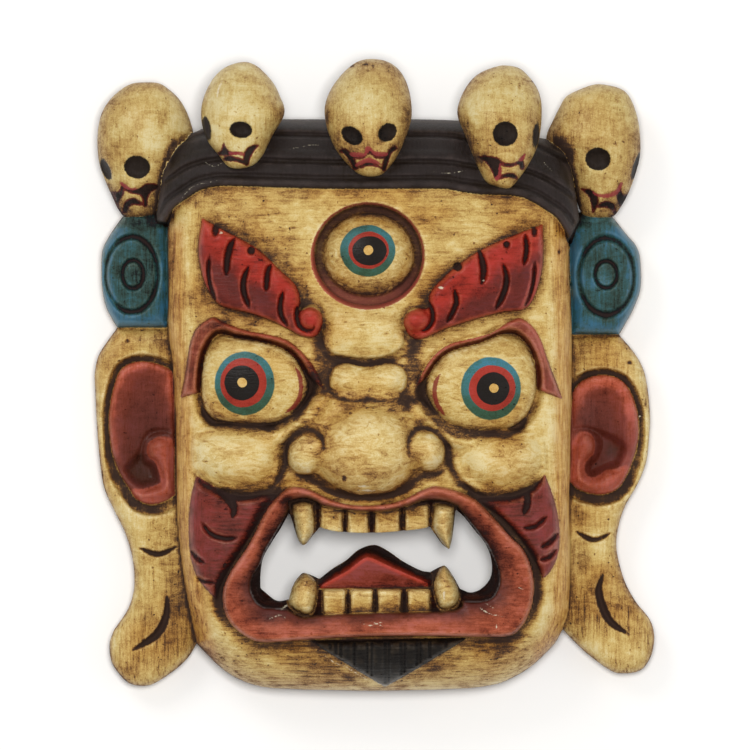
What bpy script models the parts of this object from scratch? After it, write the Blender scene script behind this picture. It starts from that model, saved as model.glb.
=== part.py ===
"""A carved wooden Bhairab mask, lying on its flat back with its face up.

The front is one carved relief: a height over the flat back at every point of a grid. Each carved shape
is an outline in millimetres, and functions of the distance to its edge raise, round or cut it. The
skulls are egg shapes joined to the head band.
"""

import bpy
import numpy as np

MM = 0.001
GRID_STEP = 2.0
RELIEF_TRIANGLES = 6400
SKULL_TRIANGLES = 420
SKULL_RINGS = 24
WALL = 27
THINNEST = 12
RIM = 20
MIDDLE = (0, -0.43)

SHARP = 1

# --- outlines, in millimetres: x to the viewer's right, y to the crown, from the middle of the block
FACE = [
    (-142, 130), (-145.5, 100), (-145, 60), (-145, 30), (-142, 8), (-139.5, -40), (-139, -90),
    (-136.6, -122), (-131.5, -157), (-125.5, -189, SHARP), (-118, -196.8), (-108, -206.3),
    (-97, -213.5),
    (-82, -218.9), (-60, -221), (0, -222.2), (60, -220.8), (84, -218), (97, -213.3), (110, -205.5),
    (121, -195.5), (128, -187.5), (132.5, -179, SHARP), (136.5, -165), (137.5, -130), (137, -90),
    (138, -50), (138.5, 0), (138.5, 35), (137, 70), (136.5, 95), (134, 130), (120, 155), (60, 165),
    (-60, 165), (-125, 155),
]
BRIM = [
    (-146, 107, SHARP), (-140, 117), (-130, 124), (-122, 129), (-112, 131.5), (-100, 132), (-40, 130),
    (0, 129.8), (45, 130), (60, 128), (75, 126), (98, 125), (110, 121), (120, 115), (127, 110),
    (132, 103), (136.5, 95, SHARP),
]
CROWN = [
    (144, 109, SHARP), (142, 125), (139.5, 140), (137, 155), (133, 163), (116, 167.5), (90, 174),
    (58, 179.5), (0, 180.3), (-37, 180.3), (-80, 180), (-110, 177), (-126, 171.5), (-135, 167),
    (-143, 160), (-148, 146), (-151, 130), (-153, 110),
]
LEFT_EAR = [
    (-181.5, 33.5, SHARP), (-190, 21.7), (-195, 13), (-197.3, 2), (-197.1, -10), (-196, -33),
    (-194, -58),
    (-190.8, -79), (-183.5, -95.5), (-176, -111), (-171, -128), (-169.4, -143), (-170.5, -155),
    (-174.5, -166), (-184, -180, SHARP), (-187, -190), (-185.5, -202), (-180, -211), (-173, -217.3),
    (-163, -219.2), (-154, -216.7), (-140, -207.3), (-131, -198.5), (-125.5, -189, SHARP), (-120, -150),
    (-120, 0), (-130, 33.5, SHARP),
]
RIGHT_EAR = [
    (172.5, 28.5, SHARP), (182, 17.5), (188.5, 7), (192, -5), (194.3, -26), (193.8, -44), (191.5, -62),
    (185.5, -77), (177, -92), (172.5, -105), (170.6, -119), (172.5, -132), (177, -146.5), (184.5, -160),
    (194, -172), (197.3, -183), (196, -195.5), (191, -205.3), (185, -209.2), (176.5, -210.3),
    (167.5, -208.8), (152, -198), (140, -187), (132.5, -179, SHARP), (120, -150), (120, 0),
    (125, 28.5, SHARP),
]
LEFT_ORNAMENT = [
    (-178, 111.5, SHARP), (-185, 101.5), (-191, 91), (-192.6, 82), (-192.4, 64), (-190, 50), (-186, 41),
    (-181.5, 33.5, SHARP), (-146, 33.5, SHARP), (-144.5, 60), (-145, 100), (-148, 116, SHARP),
    (-172, 116, SHARP),
]
RIGHT_ORNAMENT = [
    (169, 110.5, SHARP), (177, 100.3), (185, 90.5), (187.5, 81), (187.8, 62), (183, 47.5), (178, 38),
    (172.5, 28.5, SHARP), (138.5, 28.5, SHARP), (138, 60), (137.5, 95), (142, 115, SHARP),
    (164, 115, SHARP),
]
OPENING = [
    (-59.5, -95.5, SHARP), (-65, -106), (-72, -117), (-78, -128), (-80, -140), (-80, -149.5, SHARP),
    (-71, -156.8), (-66, -158.3), (-60, -157, SHARP), (-57, -147), (-52.5, -140.5), (-48.5, -138.6),
    (-38.5, -142.8, SHARP), (-30, -136), (-20, -129.8), (-11, -122.2), (0, -118.9), (10, -123.5),
    (20, -130.5), (32, -136.7), (39, -138, SHARP), (46, -134.3), (50, -133.9), (55.5, -141.5),
    (60, -149.8, SHARP), (67.5, -152.3), (75.5, -149.3), (81.5, -141.5), (82, -130), (78, -118.5),
    (70, -108.3), (62, -98.3), (56.7, -93.7, SHARP), (54.8, -110), (53, -119.7), (51.3, -121.1),
    (46.5, -117), (38.7, -105.6, SHARP), (28, -107.6), (0, -109.8), (-25, -109), (-38.3, -106, SHARP),
    (-44, -113), (-48, -118), (-51, -118.3), (-54, -113),
]
LIP_OUTER = [
    (-60, -78.3), (-70.4, -87), (-77.2, -97.3), (-84, -110.8), (-90.8, -122.7), (-101, -137.5),
    (-106, -151),
    (-104.5, -166), (-97.5, -176.5), (-86, -184.5), (-75, -186.3), (-53.4, -184.8), (-20, -182.7),
    (18, -181.7), (65, -182.3), (93, -182.1), (103.5, -174.5), (109.5, -162), (111.4, -148),
    (109.7, -134.6),
    (104, -121.5), (93.6, -110.8), (81.7, -97.8), (70, -86.5), (57, -80.5), (43, -77.2), (33, -80),
    (20, -86.5),
    (5, -90), (-15, -90.3), (-30, -86.5), (-47, -79),
]
LIP_INNER = [
    (-59.8, -88, SHARP), (-50, -85.7), (-42, -87.5), (-34, -91.5), (-10, -95), (10, -94.3), (24, -91),
    (36, -87.2), (48, -87.6), (57.5, -91, SHARP), (63, -98), (71, -108), (79, -118.5), (83.5, -128),
    (87, -138), (86.5, -147), (82, -155), (73, -157.8), (61, -157.5, SHARP), (60, -161.5), (48, -164.5),
    (0, -165.5), (-36, -167), (-50, -168.5), (-60, -163.5, SHARP), (-70, -162.5), (-78, -161.5),
    (-84, -156), (-86.5, -147), (-84.5, -139), (-79.5, -131), (-76.5, -123), (-71, -113.5), (-64, -101.5),
    (-60, -94),
]
TONGUE = [
    (-39, -149, SHARP), (-39, -143), (-30, -136), (-20, -129.8), (-11, -122.2), (0, -118.9),
    (10, -123.5),
    (20, -130.5), (32, -136.7), (40, -139), (40, -148, SHARP),
]
TONGUE_FACE = [
    (-38, -147.5, SHARP), (-20, -137.3), (-9, -129), (-5.5, -127, SHARP), (0, -128.5), (18, -137),
    (37.5, -145.5, SHARP), (38, -152, SHARP), (-38, -152, SHARP),
]
LEFT_FANGS = [
    [(-59, -89, SHARP), (-50, -86.5), (-42, -89, SHARP), (-42, -108), (-48, -118), (-51, -118.3),
     (-54.5, -112)],
    [(-60, -160), (-59, -152), (-56, -144.5), (-49, -138.6), (-43, -141.5), (-40.3, -147),
     (-41.5, -160),
     (-44, -166.5), (-51, -167.3)],
]
RIGHT_FANGS = [
    [(41.5, -90, SHARP), (49, -89), (56.5, -91, SHARP), (54.8, -110), (53, -119.7), (51, -121.1),
     (41, -107)],
    [(41.5, -148), (42.5, -141.5), (46, -135), (50, -133.9), (55.5, -141.5), (59.3, -151), (58, -160),
     (52, -163.5), (45, -162)],
]
UPPER_INCISORS = [(-37.5, -22.5), (-18.8, -4.4), (0.2, 17.6), (21, 37.7)]
LOWER_INCISORS = [(-36, -20.3), (-16.8, -1), (2.2, 18.5), (23, 38.6)]
LEFT_BROW = [
    (-120.5, 110, SHARP), (-108, 103), (-93, 95), (-80, 87), (-66, 73.5), (-55, 63), (-51.5, 52),
    (-52.5, 45), (-44, 47.5), (-37, 43), (-36.5, 34), (-41, 27), (-50, 26.5), (-60, 31.5), (-72, 37.5),
    (-88, 43), (-106, 47.5), (-113, 54), (-119.5, 66), (-123, 80), (-123.5, 92),
]
RIGHT_BROW = [
    (117.5, 105.5, SHARP), (108, 102), (95, 97), (80, 90.5), (62, 80), (45, 65.5), (38, 56),
    (37.5, 47.5),
    (30, 46.5), (22, 42.5), (20.5, 35), (25, 27), (33, 25), (50, 32), (70, 38.5), (90, 43.5),
    (104, 45.5),
    (111, 53), (116, 67), (118.3, 82),
]
LEFT_LID = [
    (-136, -16, SHARP), (-133, -3), (-131, 10), (-129, 22), (-125, 32), (-118, 38), (-112, 40.5),
    (-106, 37.5), (-90, 31.5), (-72, 28), (-62, 25), (-54, 19.5), (-45, 10), (-39, 0), (-35, -10, SHARP),
    (-45, -2), (-50, 3), (-56, 12), (-66, 19.5), (-80, 23.5), (-95, 26), (-109, 28.5), (-117, 18),
    (-120, 5), (-121.5, -12, SHARP),
]
RIGHT_LID = [
    (131.5, -17, SHARP), (128, -7), (124, 3), (120, 14), (116, 25), (111, 33.5), (104, 39), (99, 39.7),
    (93, 37), (87, 33), (80, 29), (65, 25), (54, 22.3), (45, 17), (37, 8), (28, -9, SHARP),
    (37, -1), (43, 8), (52, 16), (62, 19.5), (75, 23), (88, 28.5), (98, 28.5), (106, 22), (111.5, 10),
    (113.5, -10, SHARP),
]
LEFT_EYEBALL = [
    (-121, -8), (-120, 5), (-117, 18), (-109, 28), (-95, 25.5), (-80, 23), (-66, 19), (-56, 12),
    (-49, 1), (-46, -8), (-49, -18), (-56, -27), (-67, -32.5), (-80, -34), (-100, -33), (-112, -31),
    (-119, -22),
]
RIGHT_EYEBALL = [
    (36, -5), (38, -17), (44, -27), (55, -35.5), (70, -39), (84, -39), (96, -36), (106, -28),
    (112, -14), (113, 0), (111, 10), (106, 21), (98, 28), (88, 28), (75, 22.5), (62, 19), (51, 15),
    (42, 6),
]
LEFT_SIDEBURN = [
    (-124.5, -70, SHARP), (-128.5, -86), (-130, -105), (-129, -125), (-123.5, -142),
    (-110.5, -157, SHARP),
    (-106.5, -145), (-98, -130), (-86, -111), (-76, -95), (-68, -84), (-78, -83.5), (-95, -84),
    (-108, -80),
]
RIGHT_SIDEBURN = [
    (119, -69, SHARP), (125, -85), (129.3, -105), (128.5, -124), (123, -137), (117.5, -142, SHARP),
    (111, -128), (100, -112), (88, -99), (72, -87), (85, -85), (98, -84.5), (110, -79),
]
NOSE = [
    (-20, 14), (-30, -3), (-38, -14), (-46, -25), (-54, -33), (-60, -40), (-63, -50), (-62, -60),
    (-57, -66.5), (-50, -69, SHARP), (-44, -69), (-38, -73), (-32, -77.3), (-22, -80.8), (-5, -82.3),
    (10, -80.3), (22, -75.5), (29, -70), (35, -66.8), (41, -66.5, SHARP), (47, -63), (50, -56),
    (49, -47), (44, -39), (37, -31), (30, -22), (23, -8), (12, 14),
]
PILL = [
    (-32, -4), (-30, 4), (-25, 8), (-18, 9), (-10, 7.3), (-4, 6.5), (2, 8), (8, 9), (15, 8), (20.5, 5),
    (23, -1), (22, -8), (17, -14), (10, -17), (2, -16.8), (-5, -15.8), (-12, -17), (-20, -16.3),
    (-27, -13), (-31, -9),
]
GLABELLA = [
    (-33, 60), (-36, 40), (-36, 24), (-32, 17), (-25, 13.5), (-15, 11.7), (-5, 11), (5, 12), (12, 14.5),
    (18, 18), (21, 24), (20, 40), (24, 60),
]
LEFT_CHEEK = [
    (-130, -58), (-124, -70), (-118, -75), (-110, -79.3), (-100, -82.3), (-90, -83), (-80, -81.3),
    (-73, -78),
    (-68, -73), (-65, -66), (-64, -58), (-62.5, -48), (-58, -38), (-75, -34), (-100, -33), (-125, -38),
]
RIGHT_CHEEK = [
    (122, -62), (119, -70), (112, -76), (104, -80.5), (95, -83.3), (85, -84), (75, -82.3), (67, -78),
    (61, -71),
    (58.5, -63), (57, -55), (53, -46), (47, -38), (65, -38), (95, -37), (118, -42),
]
LEFT_CONCHA = [
    (-143, 3), (-150, 7), (-160, 9.5), (-170, 9), (-178.5, 4), (-183, -6), (-186.5, -22), (-187, -38),
    (-184.5, -56), (-179, -70), (-172, -81), (-165, -89), (-156, -91), (-146, -88), (-141, -82, SHARP),
    (-140.5, -40), (-141, -5, SHARP),
]
RIGHT_CONCHA = [
    (139.5, -12, SHARP), (145, -5), (153, -1), (163, 0), (173, -3), (180, -11), (185, -25),
    (186.3, -40),
    (184.5, -52), (181, -63), (176, -74), (170, -81), (160, -84), (150, -82.5), (143, -80),
    (137.5, -75, SHARP), (137.5, -40),
]
LEFT_TRAGUS = [
    (-151, -43), (-156, -45), (-159.5, -48), (-160.5, -53), (-159, -58), (-155, -61), (-153, -65),
    (-151.5, -70), (-151, -75.5), (-156, -78), (-163, -80), (-169, -80), (-171, -83), (-166, -88.5),
    (-155, -90), (-146, -88), (-140.5, -84, SHARP), (-141, -47, SHARP), (-145, -44),
]
RIGHT_TRAGUS = [
    (142, -43), (145, -40), (150, -40), (154, -43.5), (155.5, -49), (154.5, -55), (151, -59), (148.7, -62),
    (148, -66), (149.5, -70), (153, -72), (158, -70.5), (163, -67), (170, -66), (175, -64.5), (179, -65),
    (175, -74), (169, -81), (158, -84), (148, -82), (138.5, -76, SHARP), (139, -48, SHARP),
]
# the dark hollow that runs from above each tragus down behind it
LEFT_PIT = [
    (-178, -66), (-176, -72), (-170, -77.5), (-163, -79), (-156, -77), (-151.5, -75), (-152.5, -67),
    (-155, -62), (-160, -59), (-162, -53), (-160.5, -46), (-155, -43), (-147, -41.5), (-143, -42),
    (-144, -38), (-152, -36.5), (-160, -39), (-165, -47), (-168, -55), (-173, -60),
]
RIGHT_PIT = [
    (141, -40), (145, -39.3), (151, -40), (155, -44), (156, -50), (154, -56), (150, -60), (148, -65),
    (149, -70), (154, -72), (160, -69), (166, -66.5), (173, -64), (177, -57), (178, -49), (172, -43.5),
    (164, -39.5), (155, -36.5), (146, -35.5), (140, -37),
]
BEARD = [(-46, -184.8, SHARP), (66, -183, SHARP), (7.5, -218.5, SHARP)]


# heights of the two deep folds over the brim
BAND_FOLDS = (19, 38)

# carved lines, each a path and its width
BROW_GROOVES = [
    ([(-97, 96.5), (-100.5, 90), (-102.5, 82), (-103, 76), (-103.5, 69)], 4.5),
    ([(-71.5, 78), (-74, 73), (-75, 66), (-75.5, 58)], 4),
    ([(-115, 84), (-116, 73), (-114.5, 62), (-110.5, 52)], 2.2),
    ([(-87.5, 76), (-91, 67), (-91, 58), (-87, 46)], 3.4),
    ([(-63.5, 59), (-65.5, 50), (-65, 42), (-60, 33)], 3),
    ([(-54, 48), (-54, 40), (-52, 34), (-47, 31.3), (-42.5, 32.3), (-42, 35)], 3),
    ([(72.5, 88), (75, 80), (76, 72), (74.5, 63)], 5),
    ([(105, 99), (106, 88), (104, 76)], 3),
    ([(89.5, 78), (92, 68), (90, 57), (84, 45)], 3.4),
    ([(112, 80), (111, 66), (108, 54), (104, 47)], 2.2),
    ([(55.5, 60), (57, 51), (54, 43), (50, 36)], 3),
    ([(38, 51), (40.5, 43), (39.5, 36), (35, 31.5), (31, 31.5)], 3),
]
BROW_NOTCHES = [
    ((-111, 101), (2.6, 4.2)), ((-86, 86.8), (2.6, 3)), ((92, 91), (2.4, 2.6)), ((58, 75.5), (3, 3)),
    ((111.5, 100), (2.2, 3.5)),
]
CREASES = [
    # under and beside each eye
    ([(-43, 3), (-43.5, -7), (-46, -16), (-52, -25), (-60, -32), (-70, -35.8), (-82, -36)], 5.5, 6),
    ([(-76, -36), (-92, -35.3), (-104, -34.5), (-112, -34), (-118, -29), (-121, -22)], 3, 4.5),
    ([(31, -1), (32, -12), (37, -23), (44, -32), (52, -38.5), (62, -41.5), (75, -41.8)], 6.5, 6),
    ([(70, -41.8), (83, -40.8), (93, -41), (101, -37.5), (106, -31)], 3.2, 4.5),
    # round the wings of the nose and down beside the cheeks
    ([(-35.3, -53), (-35.8, -46), (-39, -41), (-45, -38), (-52, -39), (-58, -44), (-61.5, -51),
      (-62.2, -60), (-64.5, -68), (-70, -77)], 3, 8),
    ([(24.5, -57), (23.5, -50), (24.7, -43), (28.5, -38), (35, -36.8), (42, -39), (48, -44.5), (51.5, -52),
      (52.5, -61), (57, -71), (64, -79), (74, -84)], 3.4, 8),
    ([(-127, -68), (-120, -76), (-110, -81), (-98, -84.5), (-86, -84.5), (-75, -80.5), (-67, -74)], 3, 6),
    ([(60, -72), (68, -81), (78, -85.5), (90, -86), (102, -82.5), (112, -77.5), (119, -70)], 3.2, 6),
    # under the nose
    ([(-56, -69), (-47, -71), (-41, -74.5), (-34, -79), (-24, -83), (-8, -85)], 3, 6),
    ([(-12, -85), (8, -84), (20, -79.5), (28, -74), (34, -70), (42, -69.5), (49, -66)], 3, 6),
    # round the pill and the pad over it
    ([(-36, 16), (-30, 12), (-20, 10.3), (-5, 9.3), (8, 10.3), (16, 11.5), (24, 15)], 1.4, 5),
    ([(-35, -10.5), (-31, -12), (-28, -15), (-20, -18), (-8, -18), (6, -18.5), (15, -18.5), (22, -14)],
     -2.5, 3),
]
SIDEBURN_GROOVES = [
    ([(-110, -80), (-101, -87), (-98, -94), (-99.5, -100)], 6),
    ([(-121.5, -102), (-114.5, -110.5), (-104, -114), (-95, -113)], 3),
    ([(-129, -122), (-124, -128), (-118, -131.5)], 3),
    ([(-125.6, -141), (-119.6, -144), (-111, -144.8)], 2),
    ([(107, -81), (106.5, -90), (104, -97.5)], 5),
    ([(103, -106.5), (112, -105.5), (120.5, -98.5)], 3.5),
    ([(115.5, -120.5), (122, -117), (129, -110)], 4),
    ([(115, -129), (122, -127), (127.5, -121.5)], 3.5),
]
LOBE_GROOVES = [
    ([(-166, -121.5), (-152, -126), (-139, -120.3)], 4),
    ([(-146, -155), (-147, -170), (-154, -183), (-171, -194)], 6),
    ([(141, -109.5), (154.5, -116), (166.5, -111)], 4),
    ([(161, -139.5), (158, -153), (165, -172), (179.5, -183)], 6),
]

# rings cut in the ornaments: centre, radii and half width
RING_GROOVES = [
    ((-171, 71), (18.5, 26.5), 2.5),
    ((163.3, 69.5), (19.5, 27), 3),
    ((-170, 71), (7.5, 10), 2),
    ((163, 71), (7.7, 9.5), 2),
]


def smooth_path(points, closed=True, steps=6):
    """Points along a smooth curve through the given ones, with a corner at each SHARP one."""
    given = [np.array(point[:2], float) for point in points]
    corner = [len(point) > 2 for point in points]
    count = len(given)
    t = np.arange(steps)[:, None] / steps
    path = []
    for i in range(count if closed else count - 1):
        j = (i + 1) % count
        start, end = given[i], given[j]
        first_free = (closed or i > 0) and not corner[i]
        last_free = (closed or i < count - 2) and not corner[j]
        leaving = (end - given[i - 1]) / 2 if first_free else end - start
        arriving = (given[(i + 2) % count] - start) / 2 if last_free else end - start
        path.append(
            start * (2 * t**3 - 3 * t**2 + 1) + leaving * (t**3 - 2 * t**2 + t)
            + end * (3 * t**2 - 2 * t**3) + arriving * (t**3 - t**2)
        )
    if not closed:
        path.append(given[-1][None])
    return np.concatenate(path)


class Sheet:
    """A square grid of points over the mask. Its fields are distances in millimetres, positive inside."""

    def __init__(self, step):
        self.step = step
        self.xs = np.arange(-202, 202 + step, step)
        self.ys = np.arange(-227, 225 + step, step)
        self.x, self.y = np.meshgrid(self.xs, self.ys)

    def near(self, path, reach):
        low, high = path.min(axis=0) - reach, path.max(axis=0) + reach
        columns = slice(*np.searchsorted(self.xs, (low[0], high[0])))
        rows = slice(*np.searchsorted(self.ys, (low[1], high[1])))
        return rows, columns

    def measure(self, path, closed, reach):
        """The distance to a path, where along it the nearest point is, and what it goes round."""
        window = self.near(path, reach)
        x, y = self.x[window], self.y[window]
        nearest = np.full(x.shape, 1e9)
        along = np.zeros(x.shape)
        inside = np.zeros(x.shape, bool)
        ends = np.roll(path, -1, axis=0) if closed else path[1:]
        lengths = np.hypot(*(ends - path[:len(ends)]).T)
        travelled = np.concatenate([[0], np.cumsum(lengths)])
        for i, ((x0, y0), (x1, y1)) in enumerate(zip(path, ends)):
            if lengths[i] < 1e-9:
                continue
            dx, dy = x1 - x0, y1 - y0
            t = np.clip(((x - x0) * dx + (y - y0) * dy) / lengths[i] ** 2, 0, 1)
            away = (x - x0 - t * dx) ** 2 + (y - y0 - t * dy) ** 2
            closer = away < nearest
            nearest = np.where(closer, away, nearest)
            along = np.where(closer, travelled[i] + t * lengths[i], along)
            if dy:
                inside ^= ((y0 > y) != (y1 > y)) & (x < x0 + (y - y0) * dx / dy)
        return window, np.sqrt(nearest), along / travelled[-1], inside

    def shape(self, points, reach=30):
        """The field of a closed smooth outline."""
        window, away, _, inside = self.measure(smooth_path(points), True, reach)
        field = np.full(self.x.shape, -float(reach))
        field[window] = np.where(inside, away, np.maximum(-away, -reach))
        return field

    def stroke(self, points, width, taper=0.25, reach=12):
        """The field of a line with a width, drawn to points over this part of its length at both ends."""
        window, away, along, _ = self.measure(smooth_path(points, closed=False), False, reach)
        half = width / 2 * np.sqrt(np.clip(np.minimum(along, 1 - along) / max(taper, 1e-3), 0, 1))
        field = np.full(self.x.shape, -float(reach))
        field[window] = np.maximum(half - away, -reach)
        return field

    def ellipse(self, centre, radii, turn=0):
        u, v = self.x - centre[0], self.y - centre[1]
        angle = np.radians(turn)
        across, up = u * np.cos(angle) + v * np.sin(angle), v * np.cos(angle) - u * np.sin(angle)
        return (1 - np.hypot(across / radii[0], up / radii[1])) * min(radii)

    def box(self, left, right, bottom, top, corner):
        """The field of an upright rectangle with round corners."""
        across = abs(self.x - (left + right) / 2) - (right - left) / 2 + corner
        up = abs(self.y - (bottom + top) / 2) - (top - bottom) / 2 + corner
        outside = np.hypot(np.maximum(across, 0), np.maximum(up, 0))
        return corner - outside - np.minimum(np.maximum(across, up), 0)

    def laid(self, inside, below, above):
        """One surface over another inside a field, with a soft edge one step wide."""
        return below + (above - below) * np.clip(inside / self.step + 0.5, 0, 1)

    def blurred(self, field, width):
        """The field under a bell of this width, in millimetres."""
        count = int(np.ceil(3 * width / self.step))
        bell = np.exp(-0.5 * (np.arange(-count, count + 1) * self.step / width) ** 2)
        bell /= bell.sum()
        for axis in (0, 1):
            pad = [(count, count) if i == axis else (0, 0) for i in (0, 1)]
            padded = np.pad(field, pad, mode="edge")
            size = field.shape[axis]
            field = sum(
                weight * np.take(padded, np.arange(i, i + size), axis)
                for i, weight in enumerate(bell)
            )
        return field


def rise(inside, width):
    """0 at the edge of a field and 1 this far inside it, eased at both ends."""
    t = np.clip(inside / width, 0, 1)
    return t * t * (3 - 2 * t)


def swell(inside, width):
    """0 at the edge of a field and 1 this far inside it, round like a quarter of a circle."""
    t = np.clip(inside / width, 0, 1)
    return np.sqrt(1 - (1 - t) ** 2)


def over(below, above, radius):
    """The higher of two surfaces, with the crease between them filled."""
    h = np.clip(0.5 + (above - below) / (2 * radius), 0, 1)
    return below + (above - below) * h + radius * h * (1 - h)


def crest(inside, width):
    """1 at the middle of a line and 0 this far from it, round like a ridge."""
    return np.clip(1 - (inside / width) ** 2, 0, 1)


# --- levels, in millimetres above the flat back
FACE_LEVEL = 84
EAR_LEVEL = 31
ORNAMENT_LEVEL = 35
BAND_LEVEL = 80


def fields(sheet):
    """Every carved shape as a field."""
    s = {
        "face": sheet.shape(FACE, 60),
        "band": sheet.shape(BRIM + CROWN, 40),
        "brim": sheet.stroke(BRIM, 0, reach=75),
        "crown": sheet.stroke(CROWN, 0, reach=75),
        "left_ear": sheet.shape(LEFT_EAR, 40),
        "right_ear": sheet.shape(RIGHT_EAR, 40),
        "left_ornament": sheet.shape(LEFT_ORNAMENT),
        "right_ornament": sheet.shape(RIGHT_ORNAMENT),
        "concha": np.maximum(sheet.shape(LEFT_CONCHA), sheet.shape(RIGHT_CONCHA)),
        "tragus": np.maximum(sheet.shape(LEFT_TRAGUS), sheet.shape(RIGHT_TRAGUS)),
        "pit": np.maximum(sheet.shape(LEFT_PIT), sheet.shape(RIGHT_PIT)),
        "opening": sheet.shape(OPENING, 60),
        "lip_outer": sheet.shape(LIP_OUTER, 40),
        "lip_inner": sheet.shape(LIP_INNER, 40),
        "tongue": sheet.shape(TONGUE),
        "tongue_face": sheet.shape(TONGUE_FACE),
        "left_brow": sheet.shape(LEFT_BROW),
        "right_brow": sheet.shape(RIGHT_BROW),
        "left_lid": sheet.shape(LEFT_LID),
        "right_lid": sheet.shape(RIGHT_LID),
        "left_eyeball": sheet.shape(LEFT_EYEBALL),
        "right_eyeball": sheet.shape(RIGHT_EYEBALL),
        "left_sideburn": sheet.shape(LEFT_SIDEBURN),
        "right_sideburn": sheet.shape(RIGHT_SIDEBURN),
        "beard": sheet.shape(BEARD),
        "nose": sheet.shape(NOSE),
        "pill": sheet.shape(PILL),
        "glabella": sheet.shape(GLABELLA),
        "left_cheek": sheet.shape(LEFT_CHEEK),
        "right_cheek": sheet.shape(RIGHT_CHEEK),
    }
    s["brows"] = np.maximum(s["left_brow"], s["right_brow"])
    s["lids"] = np.maximum(s["left_lid"], s["right_lid"])
    s["eyeballs"] = np.maximum(s["left_eyeball"], s["right_eyeball"])
    s["sideburns"] = np.maximum(s["left_sideburn"], s["right_sideburn"])
    s["ornaments"] = np.maximum(s["left_ornament"], s["right_ornament"])
    s["ears"] = np.maximum(s["left_ear"], s["right_ear"])
    s["fangs"] = np.maximum.reduce([sheet.shape(points, 15) for points in LEFT_FANGS + RIGHT_FANGS])
    upper = [sheet.box(left, right, -112, -90, 2) for left, right in UPPER_INCISORS]
    lower = [sheet.box(left, right, -166.5, -149.5, 2) for left, right in LOWER_INCISORS]
    s["incisors"] = np.maximum.reduce(upper + lower)
    s["tooth_rows"] = np.maximum(sheet.box(-41, 42, -112, -90, 2), sheet.box(-43, 43, -166.5, -149.5, 2))
    return s


def mound(sheet, inside, width, edge=5):
    """0 to 1 like swell, with the ridges down the middle of a long shape rounded off."""
    bump = swell(inside, width)
    soft = sheet.blurred(bump, 0.3 * width)
    return bump + (soft - bump) * rise(inside - 1, edge)


def bump(inside, shape, foot, height):
    """A raised shape, whose sides fall away steeply outside it."""
    return foot + height * shape - 3 * np.maximum(-inside, 0)


def groove(sheet, points, width, depth, ease=3):
    """A cut along a path, round at the bottom and eased at its edges."""
    return depth * rise(sheet.stroke(points, width + ease, 0.18), (width + ease) / 2)


def carve_face(sheet, s):
    """The height of the face with its features, without the mouth."""
    x, y = sheet.x, sheet.y
    level = FACE_LEVEL - 15 * (x / 138) ** 2 - 7 * ((y + 20) / 190) ** 2
    z = level + 6 * rise(sheet.ellipse((0, -125), (125, 85)), 60)

    # sockets, then cheeks that are sharp below and run up softly to the eyes
    socket = -s["eyeballs"]
    z = z - 8 * (1 - rise(socket, 9))
    for name in ("left_cheek", "right_cheek"):
        cheek = s[name]
        z = over(z, level + bump(cheek, mound(sheet, cheek, 24), -8, 21), 1)
    ridges = (
        [(-34, -14), (-44, -26), (-56, -36), (-70, -43), (-90, -46)],
        [(24, -18), (33, -28), (46, -39), (60, -45), (80, -48)],
    )
    for points in ridges:
        ridge = sheet.stroke(points, 17, 0.1)
        z = over(z, level + bump(ridge, swell(ridge, 8), -6, 12), 2)

    # nose: its slope down to the tip, the wings and the ball
    slope = np.clip((8 - y) / 60, 0, 1)
    z = over(z, level + bump(s["nose"], (13 + 15 * slope) * mound(sheet, s["nose"], 18), -8, 1), 1.5)
    wings = np.maximum(sheet.ellipse((-48, -55), (13.5, 15.5)), sheet.ellipse((37, -52.5), (13, 15)))
    z = over(z, level + bump(wings, swell(wings, 13), -2, 20), 3)
    tip = sheet.ellipse((-5, -52), (37, 33))
    z = over(z, level + bump(tip, swell(tip, 33), -2, 35), 6)
    # the pad between the brows and the pill across the bridge
    pad = mound(sheet, s["glabella"], 15)
    z = z + 9 * pad * (1 - rise(y - 34, 22))
    z = over(z, level + bump(s["pill"], mound(sheet, s["pill"], 11), -3, 14), 1)

    # eyeballs and the lids that overhang them
    for centre, name in (((-86, -4), "left"), ((78, -6), "right")):
        ball = sheet.ellipse(centre, (48, 41))
        bulge = level - 14 + 27 * swell(ball, 41) - 4 * (1 - swell(s[name + "_eyeball"], 6))
        z = sheet.laid(s[name + "_eyeball"], z, bulge)
    lid = level - 5 + 11 * rise(socket - 0.5, 4.5) * swell(s["lids"] + 0.5, 3)
    z = sheet.laid(s["lids"], z, np.maximum(z, lid))

    # third eye in its ring
    ring = sheet.ellipse((-4.3, 83.5), (39, 36.5))
    z = z - 12 * rise(ring + 1, 4)
    eye = sheet.ellipse((-4, 84), (32, 29.5))
    z = over(z, level + bump(eye, swell(eye, 29.5), -13, 26), 1)

    # brows with their scrolls and lobes
    z = z - 2 * rise(s["brows"] + 9, 9) * (1 - rise(s["brows"], 1)) + 8 * swell(s["brows"], 7)
    scrolls = np.maximum(sheet.ellipse((-44.5, 38.5), (8.5, 9.5)), sheet.ellipse((29.5, 38), (9, 8.5)))
    z = over(z, level + bump(scrolls, swell(scrolls, 8), 3, 12), 0.5)
    for points, width in BROW_GROOVES:
        z = z - groove(sheet, points, width, 5)
    for centre, radii in BROW_NOTCHES:
        z = z - 5 * rise(sheet.ellipse(centre, radii) + 1, 2.5)

    # sideburns and beard
    z = z + 5 * swell(s["sideburns"], 6)
    for points, width in SIDEBURN_GROOVES:
        z = z - groove(sheet, points, width, 4)
    z = z + 5 * swell(s["beard"], 4)
    for points, width, depth in CREASES:
        z = z - groove(sheet, points, width, 0.55 * depth, 7)
    return z


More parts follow.
